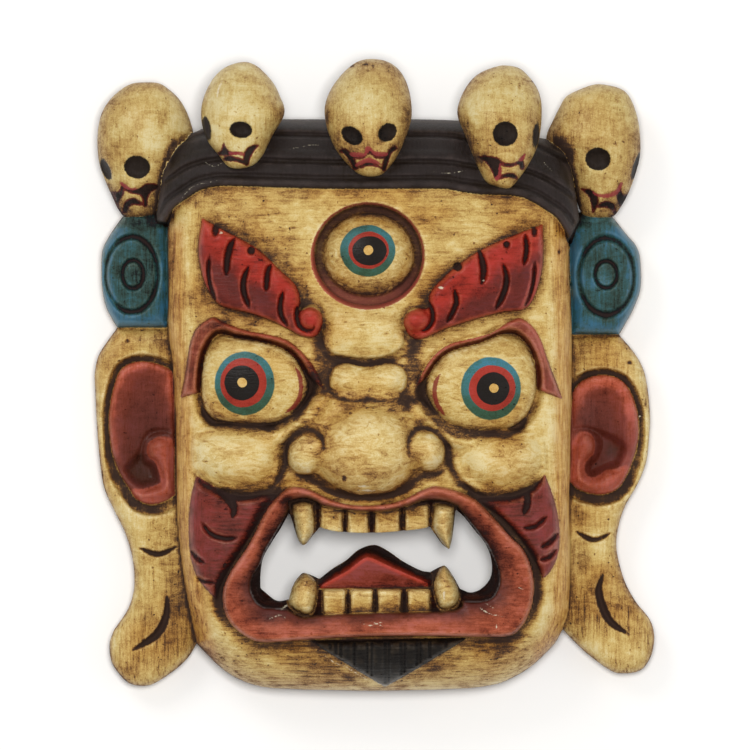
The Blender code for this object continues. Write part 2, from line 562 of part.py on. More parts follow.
def carve_mouth(sheet, s, z):
    """The rolled lip, the teeth and the tongue cut into the face."""
    x, y = sheet.x, sheet.y
    level = FACE_LEVEL + 4 - 15 * (x / 138) ** 2 - 7 * ((y + 20) / 190) ** 2
    width = np.maximum(s["lip_outer"] - s["lip_inner"], 1)
    across = np.clip(s["lip_outer"] / width, 0, 1)
    lip = level + 12 * swell(s["lip_outer"], 4) - 9 * across ** 1.5
    z = z - 4 * rise(s["lip_outer"] + 9, 9) * (1 - rise(s["lip_outer"], 1))
    z = sheet.laid(s["lip_outer"], z, lip)
    gum = level - 12 - 12 * rise(s["lip_inner"] - 1, 7)
    gum = np.maximum(gum, level - 14 + 4 * np.minimum(s["tooth_rows"], 0))
    teeth = np.maximum(
        level - 12 + 5 * swell(s["incisors"], 1.2) + 2 * swell(s["incisors"], 7),
        level - 14 + 17 * swell(s["fangs"], 8),
    )
    tongue = level - 12 - 8 * rise(-127 - y, 22) - 2 * np.maximum(-s["tongue_face"], 0)
    mouth = sheet.laid(s["tongue"], gum, np.maximum(gum, tongue))
    mouth = sheet.laid(np.maximum(s["incisors"], s["fangs"]), mouth, teeth)
    return sheet.laid(s["lip_inner"], z, mouth)


def carve_ears(sheet, s):
    """The ears with their lobes."""
    z = EAR_LEVEL - 12 + 12 * swell(s["ears"], 13)
    outside = -s["concha"]
    gutter = rise(outside + 1, 2) * (1 - rise(outside - gutter_width(sheet) + 1, 3))
    z = z - 6 * gutter
    bowl = EAR_LEVEL - 5 + 5 * swell(s["concha"], 4) - 5 * rise(s["concha"] - 3, 16)
    bowl = bowl - 7 * rise(s["pit"] + 1, 7)
    z = sheet.laid(s["concha"], z, bowl)
    z = sheet.laid(s["tragus"], z, np.maximum(z, EAR_LEVEL - 9 + 12 * swell(s["tragus"], 8)))
    for points, width in LOBE_GROOVES:
        z = z - 4 * rise(sheet.stroke(points, width + 1), width / 2)
    return z


def gutter_width(sheet):
    """The width of the gutter round the inner ear, which widens below."""
    return 4 + 3 * rise(-40 - sheet.y, 40)


def carve_ornaments(sheet, s):
    """The eight-sided blocks with two rings cut in each."""
    z = ORNAMENT_LEVEL - 14 + 14 * swell(s["ornaments"], 9)
    for centre, radii, half in RING_GROOVES:
        ring = abs(sheet.ellipse(centre, radii))
        z = z - 4 * (1 - rise(ring, half))
    return z


def carve_band(sheet, s):
    """The cloth band: a bead along its brim and soft folds above it, sloping back to the crown."""
    up = -s["brim"]
    z = BAND_LEVEL - 16 * (sheet.x / 150) ** 2 - 34 * (np.clip(up, 0, 60) / 52) ** 1.8
    z = z - 14 + 14 * swell(-s["crown"], 12)
    z = z + 3 * crest(up - 3, 3.5) - 2 * crest(up - 8, 2)
    for fold in BAND_FOLDS:
        z = z - 2.5 * crest(up - fold, 2.2) + 1.5 * crest(up - fold - 5, 4)
    return z


def relief(sheet, s):
    """The height of the carved front over the whole sheet."""
    chin = rise(-150 - sheet.y, 50)
    side = 1 - swell(s["face"] + 0.5, 20 + 14 * chin)
    face = carve_mouth(sheet, s, carve_face(sheet, s)) - (24 + 20 * chin) * side
    z = sheet.laid(s["ornaments"], carve_ears(sheet, s), carve_ornaments(sheet, s))
    z = sheet.laid(s["face"], z, face)
    z = sheet.laid(s["band"], z, carve_band(sheet, s))
    return sheet.blurred(z, 0.4 * sheet.step)


def outline(s):
    """The field of the wood: inside the silhouette and outside the open mouth."""
    parts = [s[name] for name in ("face", "band", "ears", "ornaments")]
    return np.minimum(np.maximum.reduce(parts), -s["opening"])


def cut_grid(sheet, field):
    """The sheet's points and triangles inside a field, with the points beside its edge drawn onto it."""
    slope_y, slope_x = np.gradient(field, sheet.step)
    steep = np.maximum(slope_x**2 + slope_y**2, 0.25)
    beside = abs(field) < 0.3 * sheet.step
    x = np.where(beside, sheet.x - field * slope_x / steep, sheet.x).ravel()
    y = np.where(beside, sheet.y - field * slope_y / steep, sheet.y).ravel()
    value = np.where(beside, 0, field).ravel()

    index = np.arange(value.size).reshape(field.shape)
    a, b, c, d = index[:-1, :-1], index[:-1, 1:], index[1:, 1:], index[1:, :-1]
    even = (np.indices(a.shape).sum(axis=0) % 2 == 0)
    halves = (
        np.stack([a, b, np.where(even, c, d)], -1),
        np.stack([np.where(even, a, b), c, d], -1),
    )
    faces = np.concatenate([half.reshape(-1, 3) for half in halves])
    sign = np.sign(value[faces])
    whole = faces[(sign >= 0).all(axis=1) & (sign > 0).any(axis=1)]
    mixed = (sign > 0).any(axis=1) & (sign < 0).any(axis=1)
    faces, sign = faces[mixed], sign[mixed]

    # turn each cut triangle until its first corner is inside and its last one isn't
    for _ in range(2):
        turn = ~((sign[:, 0] > 0) & (sign[:, 2] <= 0))
        faces[turn] = np.roll(faces[turn], -1, axis=1)
        sign[turn] = np.roll(sign[turn], -1, axis=1)
    ends = np.concatenate([faces[:, [0, 1]], faces[:, [1, 2]], faces[:, [2, 0]]])
    crossing = (value[ends].min(axis=1) < 0) & (value[ends].max(axis=1) > 0)
    low, high = np.sort(ends, axis=1).T
    keys, place = np.unique((low * value.size + high)[crossing], return_inverse=True)
    low, high = np.divmod(keys, value.size)
    share = value[low] / (value[low] - value[high])
    x = np.concatenate([x, x[low] + share * (x[high] - x[low])])
    y = np.concatenate([y, y[low] + share * (y[high] - y[low])])
    cut = np.full(len(ends), -1)
    cut[crossing] = value.size + place
    first, second, third = cut.reshape(3, -1)
    p, q, r = faces.T
    one, zero, two = sign[:, 1] < 0, sign[:, 1] == 0, sign[:, 1] > 0
    last = np.where(sign[:, 2] < 0, third, r)
    pieces = [
        np.stack([p, first, last], 1)[one],
        np.stack([p, q, third], 1)[zero],
        np.stack([p, q, second], 1)[two & (sign[:, 2] < 0)],
        np.stack([p, second, third], 1)[two & (sign[:, 2] < 0)],
    ]
    faces = np.concatenate([whole] + pieces)
    used, faces = np.unique(faces, return_inverse=True)
    return x[used], y[used], faces.reshape(-1, 3)


def sampled(sheet, field, x, y):
    """The value of a field at any points, from the four grid points round each."""
    u = (x - sheet.xs[0]) / sheet.step
    v = (y - sheet.ys[0]) / sheet.step
    i = np.clip(u.astype(int), 0, field.shape[1] - 2)
    j = np.clip(v.astype(int), 0, field.shape[0] - 2)
    u, v = u - i, v - j
    low = field[j, i] * (1 - u) + field[j, i + 1] * u
    high = field[j + 1, i] * (1 - u) + field[j + 1, i + 1] * u
    return low * (1 - v) + high * v


def carved_block(sheet, field, front, back):
    """Points and triangles of the closed solid between two surfaces, inside a field."""
    x, y, faces = cut_grid(sheet, field)
    count = len(x)
    points = np.concatenate([
        np.stack([x, y, sampled(sheet, front, x, y)], 1),
        np.stack([x, y, sampled(sheet, back, x, y)], 1),
    ])
    ends = np.concatenate([faces[:, [0, 1]], faces[:, [1, 2]], faces[:, [2, 0]]])
    keys = ends[:, 0] * count + ends[:, 1]
    opposite = ends[:, 1] * count + ends[:, 0]
    start, end = ends[~np.isin(keys, opposite)].T
    walls = np.concatenate([
        np.stack([end, start, start + count], 1),
        np.stack([end, start + count, end + count], 1),
    ])
    return points, np.concatenate([faces, faces[:, ::-1] + count, walls])
# Skulls along the crown: the outline from the front, and the height of the middle at its top and bottom.
SKULLS = [
    ([(-162, 206.3), (-152, 205.7), (-145, 201.5), (-138, 195), (-133, 187), (-129.5, 178), (-127.7, 169),
      (-131, 157), (-138, 143), (-145, 126), (-151, 115.5), (-161, 111.3), (-174, 110.8), (-180, 116),
      (-185.5, 127.5), (-190.5, 139), (-194, 150), (-195.3, 164), (-194, 178), (-190, 189), (-182, 198.5),
      (-172, 205)], 29, 27),
    ([(-92, 219.7), (-84, 217.7), (-77, 212), (-70, 203.5), (-66, 195), (-63, 187), (-64, 180), (-70, 170),
      (-74.5, 161), (-78.5, 153), (-85, 146.5), (-95, 144.2), (-102.5, 146), (-109, 154), (-115.5, 162),
      (-119.5, 171), (-121.3, 181), (-120.5, 191), (-117, 201), (-111, 210.5), (-103, 216.7)], 52, 74),
    ([(-3, 221.5), (8, 220), (16, 215), (21.5, 207), (24.7, 197), (26, 187), (25.5, 178), (21.5, 165),
      (17, 155), (12, 147), (5, 140), (-4, 138.5), (-12, 141), (-20.5, 149), (-27, 157.5), (-31, 166),
      (-34, 176), (-34.8, 187), (-32, 197), (-27, 205.5), (-20, 213.5), (-12, 219.5)], 58, 80),
    ([(91, 217.3), (101, 215.5), (108, 209.5), (114, 201), (116.7, 192), (117, 183), (116.2, 172),
      (113.5, 159), (107.5, 147), (101, 137.5), (94, 130.5), (85, 132), (77.5, 135.5), (71.5, 147),
      (67, 158), (62.5, 170), (58.5, 180), (58.3, 188), (62, 198), (68, 207), (75, 212.5), (84, 216)],
     52, 74),
    ([(156, 205), (166, 204), (174, 201.5), (179, 197), (183, 189), (186, 178), (187.3, 165), (186.8, 153),
      (183, 139), (178.3, 127), (173.5, 118.5), (168, 111.8), (158, 110.3), (148, 112), (143, 121),
      (139, 137), (132, 152),
      (122, 163), (121.5, 170), (126, 180), (130.5, 189), (135, 196.3), (145, 201.5)], 29, 27),
]
SKULL_FRONT = 28
SKULL_BACK = 23

# hollows of the eyes: middle, radii and turn
SKULL_EYES = [
    ((-166.5, 146), (9.2, 8), -8), ((-189, 144.7), (3.2, 8.3), 24), ((-93, 170.8), (8, 5.8), -5),
    ((-117.2, 172.3), (3.1, 8.8), 10), ((-15.7, 166.6), (8.2, 5.7), -36), ((9, 168.8), (7.3, 5.8), 45),
    ((91, 168), (8.7, 8.7), 0), ((112.7, 167.3), (2.4, 9), -5), ((156.7, 151.6), (9, 8), -8),
    ((184.6, 147.5), (2.6, 10.5), -19),
]


def eye_hollows(x, y):
    """How deep the skulls are cut for their eyes."""
    depth = np.zeros(len(x))
    for (middle_x, middle_y), (across, up), turn in SKULL_EYES:
        turn = np.radians(turn)
        u = (x - middle_x) * np.cos(turn) + (y - middle_y) * np.sin(turn)
        v = (y - middle_y) * np.cos(turn) - (x - middle_x) * np.sin(turn)
        depth = np.maximum(depth, 4 * rise(1.15 - np.hypot(u / across, v / up), 0.75))
    return depth


def skull(outline, middle_at_top, middle_at_bottom, rings):
    """Points and triangles of a skull: rounded rings between the two sides of its outline."""
    path = smooth_path(outline)
    top, bottom = path[:, 1].argmax(), path[:, 1].argmin()
    right = path[top:bottom + 1]
    left = np.concatenate([path[bottom:], path[:top + 1]])
    high, low = path[top, 1], path[bottom, 1]
    tilt = np.pi * np.arange(1, rings) / rings
    tilt = tilt + 0.3 * np.sin(tilt)
    y = (high + low) / 2 + (high - low) / 2 * np.cos(tilt)
    to_right = np.interp(-y, -right[:, 1], right[:, 0])
    to_left = np.interp(y, left[:, 1], left[:, 0])
    half = (to_right - to_left) / 2
    middle = (to_right + to_left) / 2
    level = np.interp(y, (low, high), (middle_at_bottom, middle_at_top))
    sides = 2 * rings
    round_ = 2 * np.pi * np.arange(sides) / sides
    round_ = round_ - 0.5 * np.sin(round_)
    deep = np.where(np.cos(round_) > 0, SKULL_FRONT, SKULL_BACK)
    full = np.sqrt(np.sin(tilt)) * (half / half.max()) ** 0.5
    points = np.stack([
        middle[:, None] + half[:, None] * np.sin(round_),
        y[:, None] + 0 * round_,
        level[:, None] + full[:, None] * deep * np.cos(round_),
    ], -1).reshape(-1, 3)
    ends = [(*path[top], middle_at_top), (*path[bottom], middle_at_bottom)]
    points = np.concatenate([points, ends])
    front = rise(points[:, 2] - middle_at_bottom, 8)
    points[:, 2] -= front * eye_hollows(points[:, 0], points[:, 1])

    index = np.arange((rings - 1) * sides).reshape(rings - 1, sides)
    beside = np.roll(index, -1, axis=1)
    upper, lower = index[:-1].ravel(), index[1:].ravel()
    upper_beside, lower_beside = beside[:-1].ravel(), beside[1:].ravel()
    top, bottom = len(points) - 2, len(points) - 1
    faces = np.concatenate([
        np.stack([upper, lower, lower_beside], 1),
        np.stack([upper, lower_beside, upper_beside], 1),
        np.stack([np.full(sides, top), index[0], beside[0]], 1),
        np.stack([np.full(sides, bottom), beside[-1], index[-1]], 1),
    ])
    return points, faces


def hollow_back(sheet, s, front):
    """The height of the bowl cut into the back, 0 on the flat rim round it."""
    x, y = sheet.x, sheet.y
    roof = FACE_LEVEL - WALL - 12 * (x / 138) ** 2 - 6 * ((y + 20) / 190) ** 2
    bowl = roof * swell(np.minimum(s["face"], 148 - y) - RIM, 45)
    roof = np.minimum(sheet.blurred(front, 5) - THINNEST, front - 9)
    return np.clip(bowl, 0, roof)


def clear_scene():
    for kind in (bpy.data.objects, bpy.data.meshes, bpy.data.materials):
        for item in list(kind):
            kind.remove(item)


def painted_wood():
    material = bpy.data.materials.new("painted_wood")
    material.use_nodes = True
    shader = material.node_tree.nodes["Principled BSDF"]
    shader.inputs["Base Color"].default_value = (0.58, 0.41, 0.16, 1)
    shader.inputs["Roughness"].default_value = 0.5
    return material


def mesh_object(name, points, faces, material):
    mesh = bpy.data.meshes.new(name)
    mesh.from_pydata((points * MM).tolist(), [], faces.tolist())
    mesh.validate()
    mesh.materials.append(material)
    mesh.shade_smooth()
    item = bpy.data.objects.new(name, mesh)
    bpy.context.scene.collection.objects.link(item)
    return item


def thinned(item, triangles):
    """Merges the smallest faces of an object until about this many are left."""
    thin = item.modifiers.new("fewer_faces", "DECIMATE")
    thin.ratio = triangles / len(item.data.polygons)


def five_skulls(material):
    """The skulls as one guide object, which the mask is joined to."""
    all_points, all_faces, count = [], [], 0
    for values in SKULLS:
        points, faces = skull(*values, rings=SKULL_RINGS)
        all_points.append(points - (*MIDDLE, 0))
        all_faces.append(faces + count)
        count += len(points)
    item = mesh_object("skulls", np.concatenate(all_points), np.concatenate(all_faces), material)
    thinned(item, SKULL_TRIANGLES * len(SKULLS))
    item.hide_render = True
    item.display_type = "WIRE"
    return item


def build():
    clear_scene()
    material = painted_wood()
    sheet = Sheet(GRID_STEP)
    s = fields(sheet)
    front = relief(sheet, s)
    points, faces = carved_block(sheet, outline(s), front, hollow_back(sheet, s, front))
    mask = mesh_object("mask", points - (*MIDDLE, 0), faces, material)
    thinned(mask, RELIEF_TRIANGLES)
    union = mask.modifiers.new("join_skulls", "BOOLEAN")
    union.operation = "UNION"
    union.object = five_skulls(material)


build()
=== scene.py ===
"""The finish of a carved and painted Bhairab mask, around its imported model: fine relief, paint and light."""
from functools import partial

import bpy
import numpy as np
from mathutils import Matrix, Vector


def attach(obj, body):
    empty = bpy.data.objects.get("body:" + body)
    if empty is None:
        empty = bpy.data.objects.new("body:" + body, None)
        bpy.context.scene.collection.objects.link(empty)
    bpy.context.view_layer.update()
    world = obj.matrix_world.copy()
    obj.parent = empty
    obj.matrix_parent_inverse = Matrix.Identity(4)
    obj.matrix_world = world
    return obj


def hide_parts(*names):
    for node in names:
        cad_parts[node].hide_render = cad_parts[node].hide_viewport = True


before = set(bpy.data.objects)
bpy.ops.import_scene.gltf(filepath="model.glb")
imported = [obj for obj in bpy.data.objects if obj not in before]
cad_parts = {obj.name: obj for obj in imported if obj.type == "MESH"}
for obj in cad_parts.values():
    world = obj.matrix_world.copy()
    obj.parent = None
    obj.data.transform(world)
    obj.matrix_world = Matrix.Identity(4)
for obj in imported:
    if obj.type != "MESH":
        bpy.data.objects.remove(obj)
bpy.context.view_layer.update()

# --- sizes in millimetres
MM = 0.001
GRID_STEP = 1.0
# the middle of the model's box, seen from the middle of the block that the outlines are drawn on
MIDDLE = (0, -0.43)
# heights over the flat back
FACE_LEVEL = 84
EAR_LEVEL = 31
ORNAMENT_LEVEL = 35
BAND_LEVEL = 80
# the face falls away from its middle, over these half sizes
FACE_MIDDLE = -20
HALF_FACE = (138, 190)
# the hollow back: the wall over it, the least wall anywhere, and the flat rim round it
WALL = 27
THINNEST = 12
RIM = 20
# how far a skull stands out before and behind its middle
SKULL_FRONT = 28
SKULL_BACK = 23

RELIEF_TRIANGLES = 144000
SKULL_TRIANGLES = 54000
SKULL_RINGS = 70
KEEP_STEPS = 8

# --- outlines: x to the viewer's right, y to the crown, from the middle of the block
SHARP = 1
OUTLINES = {
    "face": [
        (-142, 130), (-145.5, 100), (-145, 60), (-145, 30), (-142, 8), (-139.5, -40), (-139, -90),
        (-136.6, -122), (-131.5, -157), (-125.5, -189, SHARP), (-118, -196.8), (-108, -206.3), (-97, -213.5),
        (-82, -218.9), (-60, -221), (0, -222.2), (60, -220.8), (84, -218), (97, -213.3), (110, -205.5),
        (121, -195.5), (128, -187.5), (132.5, -179, SHARP), (136.5, -165), (137.5, -130), (137, -90),
        (138, -50), (138.5, 0), (138.5, 35), (137, 70), (136.5, 95), (134, 130), (120, 155), (60, 165),
        (-60, 165), (-125, 155),
    ],
    "left_ear": [
        (-181.5, 33.5, SHARP), (-190, 21.7), (-195, 13), (-197.3, 2), (-197.1, -10), (-196, -33),
        (-194, -58), (-190.8, -79), (-183.5, -95.5), (-176, -111), (-171, -128), (-169.4, -143),
        (-170.5, -155), (-174.5, -166), (-184, -180, SHARP), (-187, -190), (-185.5, -202), (-180, -211),
        (-173, -217.3), (-163, -219.2), (-154, -216.7), (-140, -207.3), (-131, -198.5),
        (-125.5, -189, SHARP), (-120, -150), (-120, 0), (-130, 33.5, SHARP),
    ],
    "right_ear": [
        (172.5, 28.5, SHARP), (182, 17.5), (188.5, 7), (192, -5), (194.3, -26), (193.8, -44), (191.5, -62),
        (185.5, -77), (177, -92), (172.5, -105), (170.6, -119), (172.5, -132), (177, -146.5), (184.5, -160),
        (194, -172), (197.3, -183), (196, -195.5), (191, -205.3), (185, -209.2), (176.5, -210.3),
        (167.5, -208.8), (152, -198), (140, -187), (132.5, -179, SHARP), (120, -150), (120, 0),
        (125, 28.5, SHARP),
    ],
    "left_ornament": [
        (-178, 111.5, SHARP), (-185, 101.5), (-191, 91), (-192.6, 82), (-192.4, 64), (-190, 50), (-186, 41),
        (-181.5, 33.5, SHARP), (-146, 33.5, SHARP), (-144.5, 60), (-145, 100), (-148, 116, SHARP),
        (-172, 116, SHARP),
    ],
    "right_ornament": [
        (169, 110.5, SHARP), (177, 100.3), (185, 90.5), (187.5, 81), (187.8, 62), (183, 47.5), (178, 38),
        (172.5, 28.5, SHARP), (138.5, 28.5, SHARP), (138, 60), (137.5, 95), (142, 115, SHARP),
        (164, 115, SHARP),
    ],
    "opening": [
        (-59.5, -95.5, SHARP), (-65, -106), (-72, -117), (-78, -128), (-80, -140), (-80, -149.5, SHARP),
        (-71, -156.8), (-66, -158.3), (-60, -157, SHARP), (-57, -147), (-52.5, -140.5), (-48.5, -138.6),
        (-38.5, -142.8, SHARP), (-30, -136), (-20, -129.8), (-11, -122.2), (0, -118.9), (10, -123.5),
        (20, -130.5), (32, -136.7), (39, -138, SHARP), (46, -134.3), (50, -133.9), (55.5, -141.5),
        (60, -149.8, SHARP), (67.5, -152.3), (75.5, -149.3), (81.5, -141.5), (82, -130), (78, -118.5),
        (70, -108.3), (62, -98.3), (56.7, -93.7, SHARP), (54.8, -110), (53, -119.7), (51.3, -121.1),
        (46.5, -117), (38.7, -105.6, SHARP), (28, -107.6), (0, -109.8), (-25, -109), (-38.3, -106, SHARP),
        (-44, -113), (-48, -118), (-51, -118.3), (-54, -113),
    ],
    "lip_outer": [
        (-60, -78.3), (-70.4, -87), (-77.2, -97.3), (-84, -110.8), (-90.8, -122.7), (-101, -137.5),
        (-106, -151), (-104.5, -166), (-97.5, -176.5), (-86, -184.5), (-75, -186.3), (-53.4, -184.8),
        (-20, -182.7), (18, -181.7), (65, -182.3), (93, -182.1), (103.5, -174.5), (109.5, -162),
        (111.4, -148), (109.7, -134.6), (104, -121.5), (93.6, -110.8), (81.7, -97.8), (70, -86.5),
        (57, -80.5), (43, -77.2), (33, -80), (20, -86.5), (5, -90), (-15, -90.3), (-30, -86.5), (-47, -79),
    ],
    "lip_inner": [
        (-59.8, -88, SHARP), (-50, -85.7), (-42, -87.5), (-34, -91.5), (-10, -95), (10, -94.3), (24, -91),
        (36, -87.2), (48, -87.6), (57.5, -91, SHARP), (63, -98), (71, -108), (79, -118.5), (83.5, -128),
        (87, -138), (86.5, -147), (82, -155), (73, -157.8), (61, -157.5, SHARP), (60, -161.5), (48, -164.5),
        (0, -165.5), (-36, -167), (-50, -168.5), (-60, -163.5, SHARP), (-70, -162.5), (-78, -161.5),
        (-84, -156), (-86.5, -147), (-84.5, -139), (-79.5, -131), (-76.5, -123), (-71, -113.5),
        (-64, -101.5), (-60, -94),
    ],
    "tongue": [
        (-39, -149, SHARP), (-39, -143), (-30, -136), (-20, -129.8), (-11, -122.2), (0, -118.9),
        (10, -123.5), (20, -130.5), (32, -136.7), (40, -139), (40, -148, SHARP),
    ],
    "tongue_face": [
        (-38, -147.5, SHARP), (-20, -137.3), (-9, -129), (-5.5, -127, SHARP), (0, -128.5), (18, -137),
        (37.5, -145.5, SHARP), (38, -152, SHARP), (-38, -152, SHARP),
    ],
    "left_brow": [
        (-120.5, 110, SHARP), (-108, 103), (-93, 95), (-80, 87), (-66, 73.5), (-55, 63), (-51.5, 52),
        (-52.5, 45), (-44, 47.5), (-37, 43), (-36.5, 34), (-41, 27), (-50, 26.5), (-60, 31.5), (-72, 37.5),
        (-88, 43), (-106, 47.5), (-113, 54), (-119.5, 66), (-123, 80), (-123.5, 92),
    ],
    "right_brow": [
        (117.5, 105.5, SHARP), (108, 102), (95, 97), (80, 90.5), (62, 80), (45, 65.5), (38, 56),
        (37.5, 47.5), (30, 46.5), (22, 42.5), (20.5, 35), (25, 27), (33, 25), (50, 32), (70, 38.5),
        (90, 43.5), (104, 45.5), (111, 53), (116, 67), (118.3, 82),
    ],
    "left_lid": [
        (-136, -16, SHARP), (-133, -3), (-131, 10), (-129, 22), (-125, 32), (-118, 38), (-112, 40.5),
        (-106, 37.5), (-90, 31.5), (-72, 28), (-62, 25), (-54, 19.5), (-45, 10), (-39, 0), (-35, -10, SHARP),
        (-45, -2), (-50, 3), (-56, 12), (-66, 19.5), (-80, 23.5), (-95, 26), (-109, 28.5), (-117, 18),
        (-120, 5), (-121.5, -12, SHARP),
    ],
    "right_lid": [
        (131.5, -17, SHARP), (128, -7), (124, 3), (120, 14), (116, 25), (111, 33.5), (104, 39), (99, 39.7),
        (93, 37), (87, 33), (80, 29), (65, 25), (54, 22.3), (45, 17), (37, 8), (28, -9, SHARP), (37, -1),
        (43, 8), (52, 16), (62, 19.5), (75, 23), (88, 28.5), (98, 28.5), (106, 22), (111.5, 10),
        (113.5, -10, SHARP),
    ],
    "left_eyeball": [
        (-121, -8), (-120, 5), (-117, 18), (-109, 28), (-95, 25.5), (-80, 23), (-66, 19), (-56, 12),
        (-49, 1), (-46, -8), (-49, -18), (-56, -27), (-67, -32.5), (-80, -34), (-100, -33), (-112, -31),
        (-119, -22),
    ],
    "right_eyeball": [
        (36, -5), (38, -17), (44, -27), (55, -35.5), (70, -39), (84, -39), (96, -36), (106, -28), (112, -14),
        (113, 0), (111, 10), (106, 21), (98, 28), (88, 28), (75, 22.5), (62, 19), (51, 15), (42, 6),
    ],
    "left_sideburn": [
        (-124.5, -70, SHARP), (-128.5, -86), (-130, -105), (-129, -125), (-123.5, -142),
        (-110.5, -157, SHARP), (-106.5, -145), (-98, -130), (-86, -111), (-76, -95), (-68, -84),
        (-78, -83.5), (-95, -84), (-108, -80),
    ],
    "right_sideburn": [
        (119, -69, SHARP), (125, -85), (129.3, -105), (128.5, -124), (123, -137), (117.5, -142, SHARP),
        (111, -128), (100, -112), (88, -99), (72, -87), (85, -85), (98, -84.5), (110, -79),
    ],
    "nose": [
        (-20, 14), (-30, -3), (-38, -14), (-46, -25), (-54, -33), (-60, -40), (-63, -50), (-62, -60),
        (-57, -66.5), (-50, -69, SHARP), (-44, -69), (-38, -73), (-32, -77.3), (-22, -80.8), (-5, -82.3),
        (10, -80.3), (22, -75.5), (29, -70), (35, -66.8), (41, -66.5, SHARP), (47, -63), (50, -56),
        (49, -47), (44, -39), (37, -31), (30, -22), (23, -8), (12, 14),
    ],
    "pill": [
        (-32, -4), (-30, 4), (-25, 8), (-18, 9), (-10, 7.3), (-4, 6.5), (2, 8), (8, 9), (15, 8), (20.5, 5),
        (23, -1), (22, -8), (17, -14), (10, -17), (2, -16.8), (-5, -15.8), (-12, -17), (-20, -16.3),
        (-27, -13), (-31, -9),
    ],
    "glabella": [
        (-33, 60), (-36, 40), (-36, 24), (-32, 17), (-25, 13.5), (-15, 11.7), (-5, 11), (5, 12), (12, 14.5),
        (18, 18), (21, 24), (20, 40), (24, 60),
    ],
    "left_cheek": [
        (-130, -58), (-124, -70), (-118, -75), (-110, -79.3), (-100, -82.3), (-90, -83), (-80, -81.3),
        (-73, -78), (-68, -73), (-65, -66), (-64, -58), (-62.5, -48), (-58, -38), (-75, -34), (-100, -33),
        (-125, -38),
    ],
    "right_cheek": [
        (122, -62), (119, -70), (112, -76), (104, -80.5), (95, -83.3), (85, -84), (75, -82.3), (67, -78),
        (61, -71), (58.5, -63), (57, -55), (53, -46), (47, -38), (65, -38), (95, -37), (118, -42),
    ],
    "left_concha": [
        (-143, 3), (-150, 7), (-160, 9.5), (-170, 9), (-178.5, 4), (-183, -6), (-186.5, -22), (-187, -38),
        (-184.5, -56), (-179, -70), (-172, -81), (-165, -89), (-156, -91), (-146, -88), (-141, -82, SHARP),
        (-140.5, -40), (-141, -5, SHARP),
    ],
    "right_concha": [
        (139.5, -12, SHARP), (145, -5), (153, -1), (163, 0), (173, -3), (180, -11), (185, -25), (186.3, -40),
        (184.5, -52), (181, -63), (176, -74), (170, -81), (160, -84), (150, -82.5), (143, -80),
        (137.5, -75, SHARP), (137.5, -40),
    ],
    "left_tragus": [
        (-151, -43), (-156, -45), (-159.5, -48), (-160.5, -53), (-159, -58), (-155, -61), (-153, -65),
        (-151.5, -70), (-151, -75.5), (-156, -78), (-163, -80), (-169, -80), (-171, -83), (-166, -88.5),
        (-155, -90), (-146, -88), (-140.5, -84, SHARP), (-141, -47, SHARP), (-145, -44),
    ],
    "right_tragus": [
        (142, -43), (145, -40), (150, -40), (154, -43.5), (155.5, -49), (154.5, -55), (151, -59),
        (148.7, -62), (148, -66), (149.5, -70), (153, -72), (158, -70.5), (163, -67), (170, -66),
        (175, -64.5), (179, -65), (175, -74), (169, -81), (158, -84), (148, -82), (138.5, -76, SHARP),
        (139, -48, SHARP),
    ],
    "left_pit": [
        (-178, -66), (-176, -72), (-170, -77.5), (-163, -79), (-156, -77), (-151.5, -75), (-152.5, -67),
        (-155, -62), (-160, -59), (-162, -53), (-160.5, -46), (-155, -43), (-147, -41.5), (-143, -42),
        (-144, -38), (-152, -36.5), (-160, -39), (-165, -47), (-168, -55), (-173, -60),
    ],
    "right_pit": [
        (141, -40), (145, -39.3), (151, -40), (155, -44), (156, -50), (154, -56), (150, -60), (148, -65),
        (149, -70), (154, -72), (160, -69), (166, -66.5), (173, -64), (177, -57), (178, -49), (172, -43.5),
        (164, -39.5), (155, -36.5), (146, -35.5), (140, -37),
    ],
    "beard": [(-46, -184.8, SHARP), (66, -183, SHARP), (7.5, -218.5, SHARP)],
}
# the brim and the crown of the head band
BRIM = [
    (-146, 107, SHARP), (-140, 117), (-130, 124), (-122, 129), (-112, 131.5), (-100, 132), (-40, 130),
    (0, 129.8), (45, 130), (60, 128), (75, 126), (98, 125), (110, 121), (120, 115), (127, 110), (132, 103),
    (136.5, 95, SHARP),
]
CROWN = [
    (144, 109, SHARP), (142, 125), (139.5, 140), (137, 155), (133, 163), (116, 167.5), (90, 174),
    (58, 179.5), (0, 180.3), (-37, 180.3), (-80, 180), (-110, 177), (-126, 171.5), (-135, 167), (-143, 160),
    (-148, 146), (-151, 130), (-153, 110),
]
LEFT_FANGS = [
    [(-59, -89, SHARP), (-50, -86.5), (-42, -89, SHARP), (-42, -108), (-48, -118), (-51, -118.3),
     (-54.5, -112)],
    [(-60, -160), (-59, -152), (-56, -144.5), (-49, -138.6), (-43, -141.5), (-40.3, -147),
     (-41.5, -160),
     (-44, -166.5), (-51, -167.3)],
]
RIGHT_FANGS = [
    [(41.5, -90, SHARP), (49, -89), (56.5, -91, SHARP), (54.8, -110), (53, -119.7), (51, -121.1),
     (41, -107)],
    [(41.5, -148), (42.5, -141.5), (46, -135), (50, -133.9), (55.5, -141.5), (59.3, -151), (58, -160),
     (52, -163.5), (45, -162)],
]
UPPER_INCISORS = [(-37.5, -22.5), (-18.8, -4.4), (0.2, 17.6), (21, 37.7)]
LOWER_INCISORS = [(-36, -20.3), (-16.8, -1), (2.2, 18.5), (23, 38.6)]

# heights of the two deep folds over the brim
BAND_FOLDS = (19, 38)

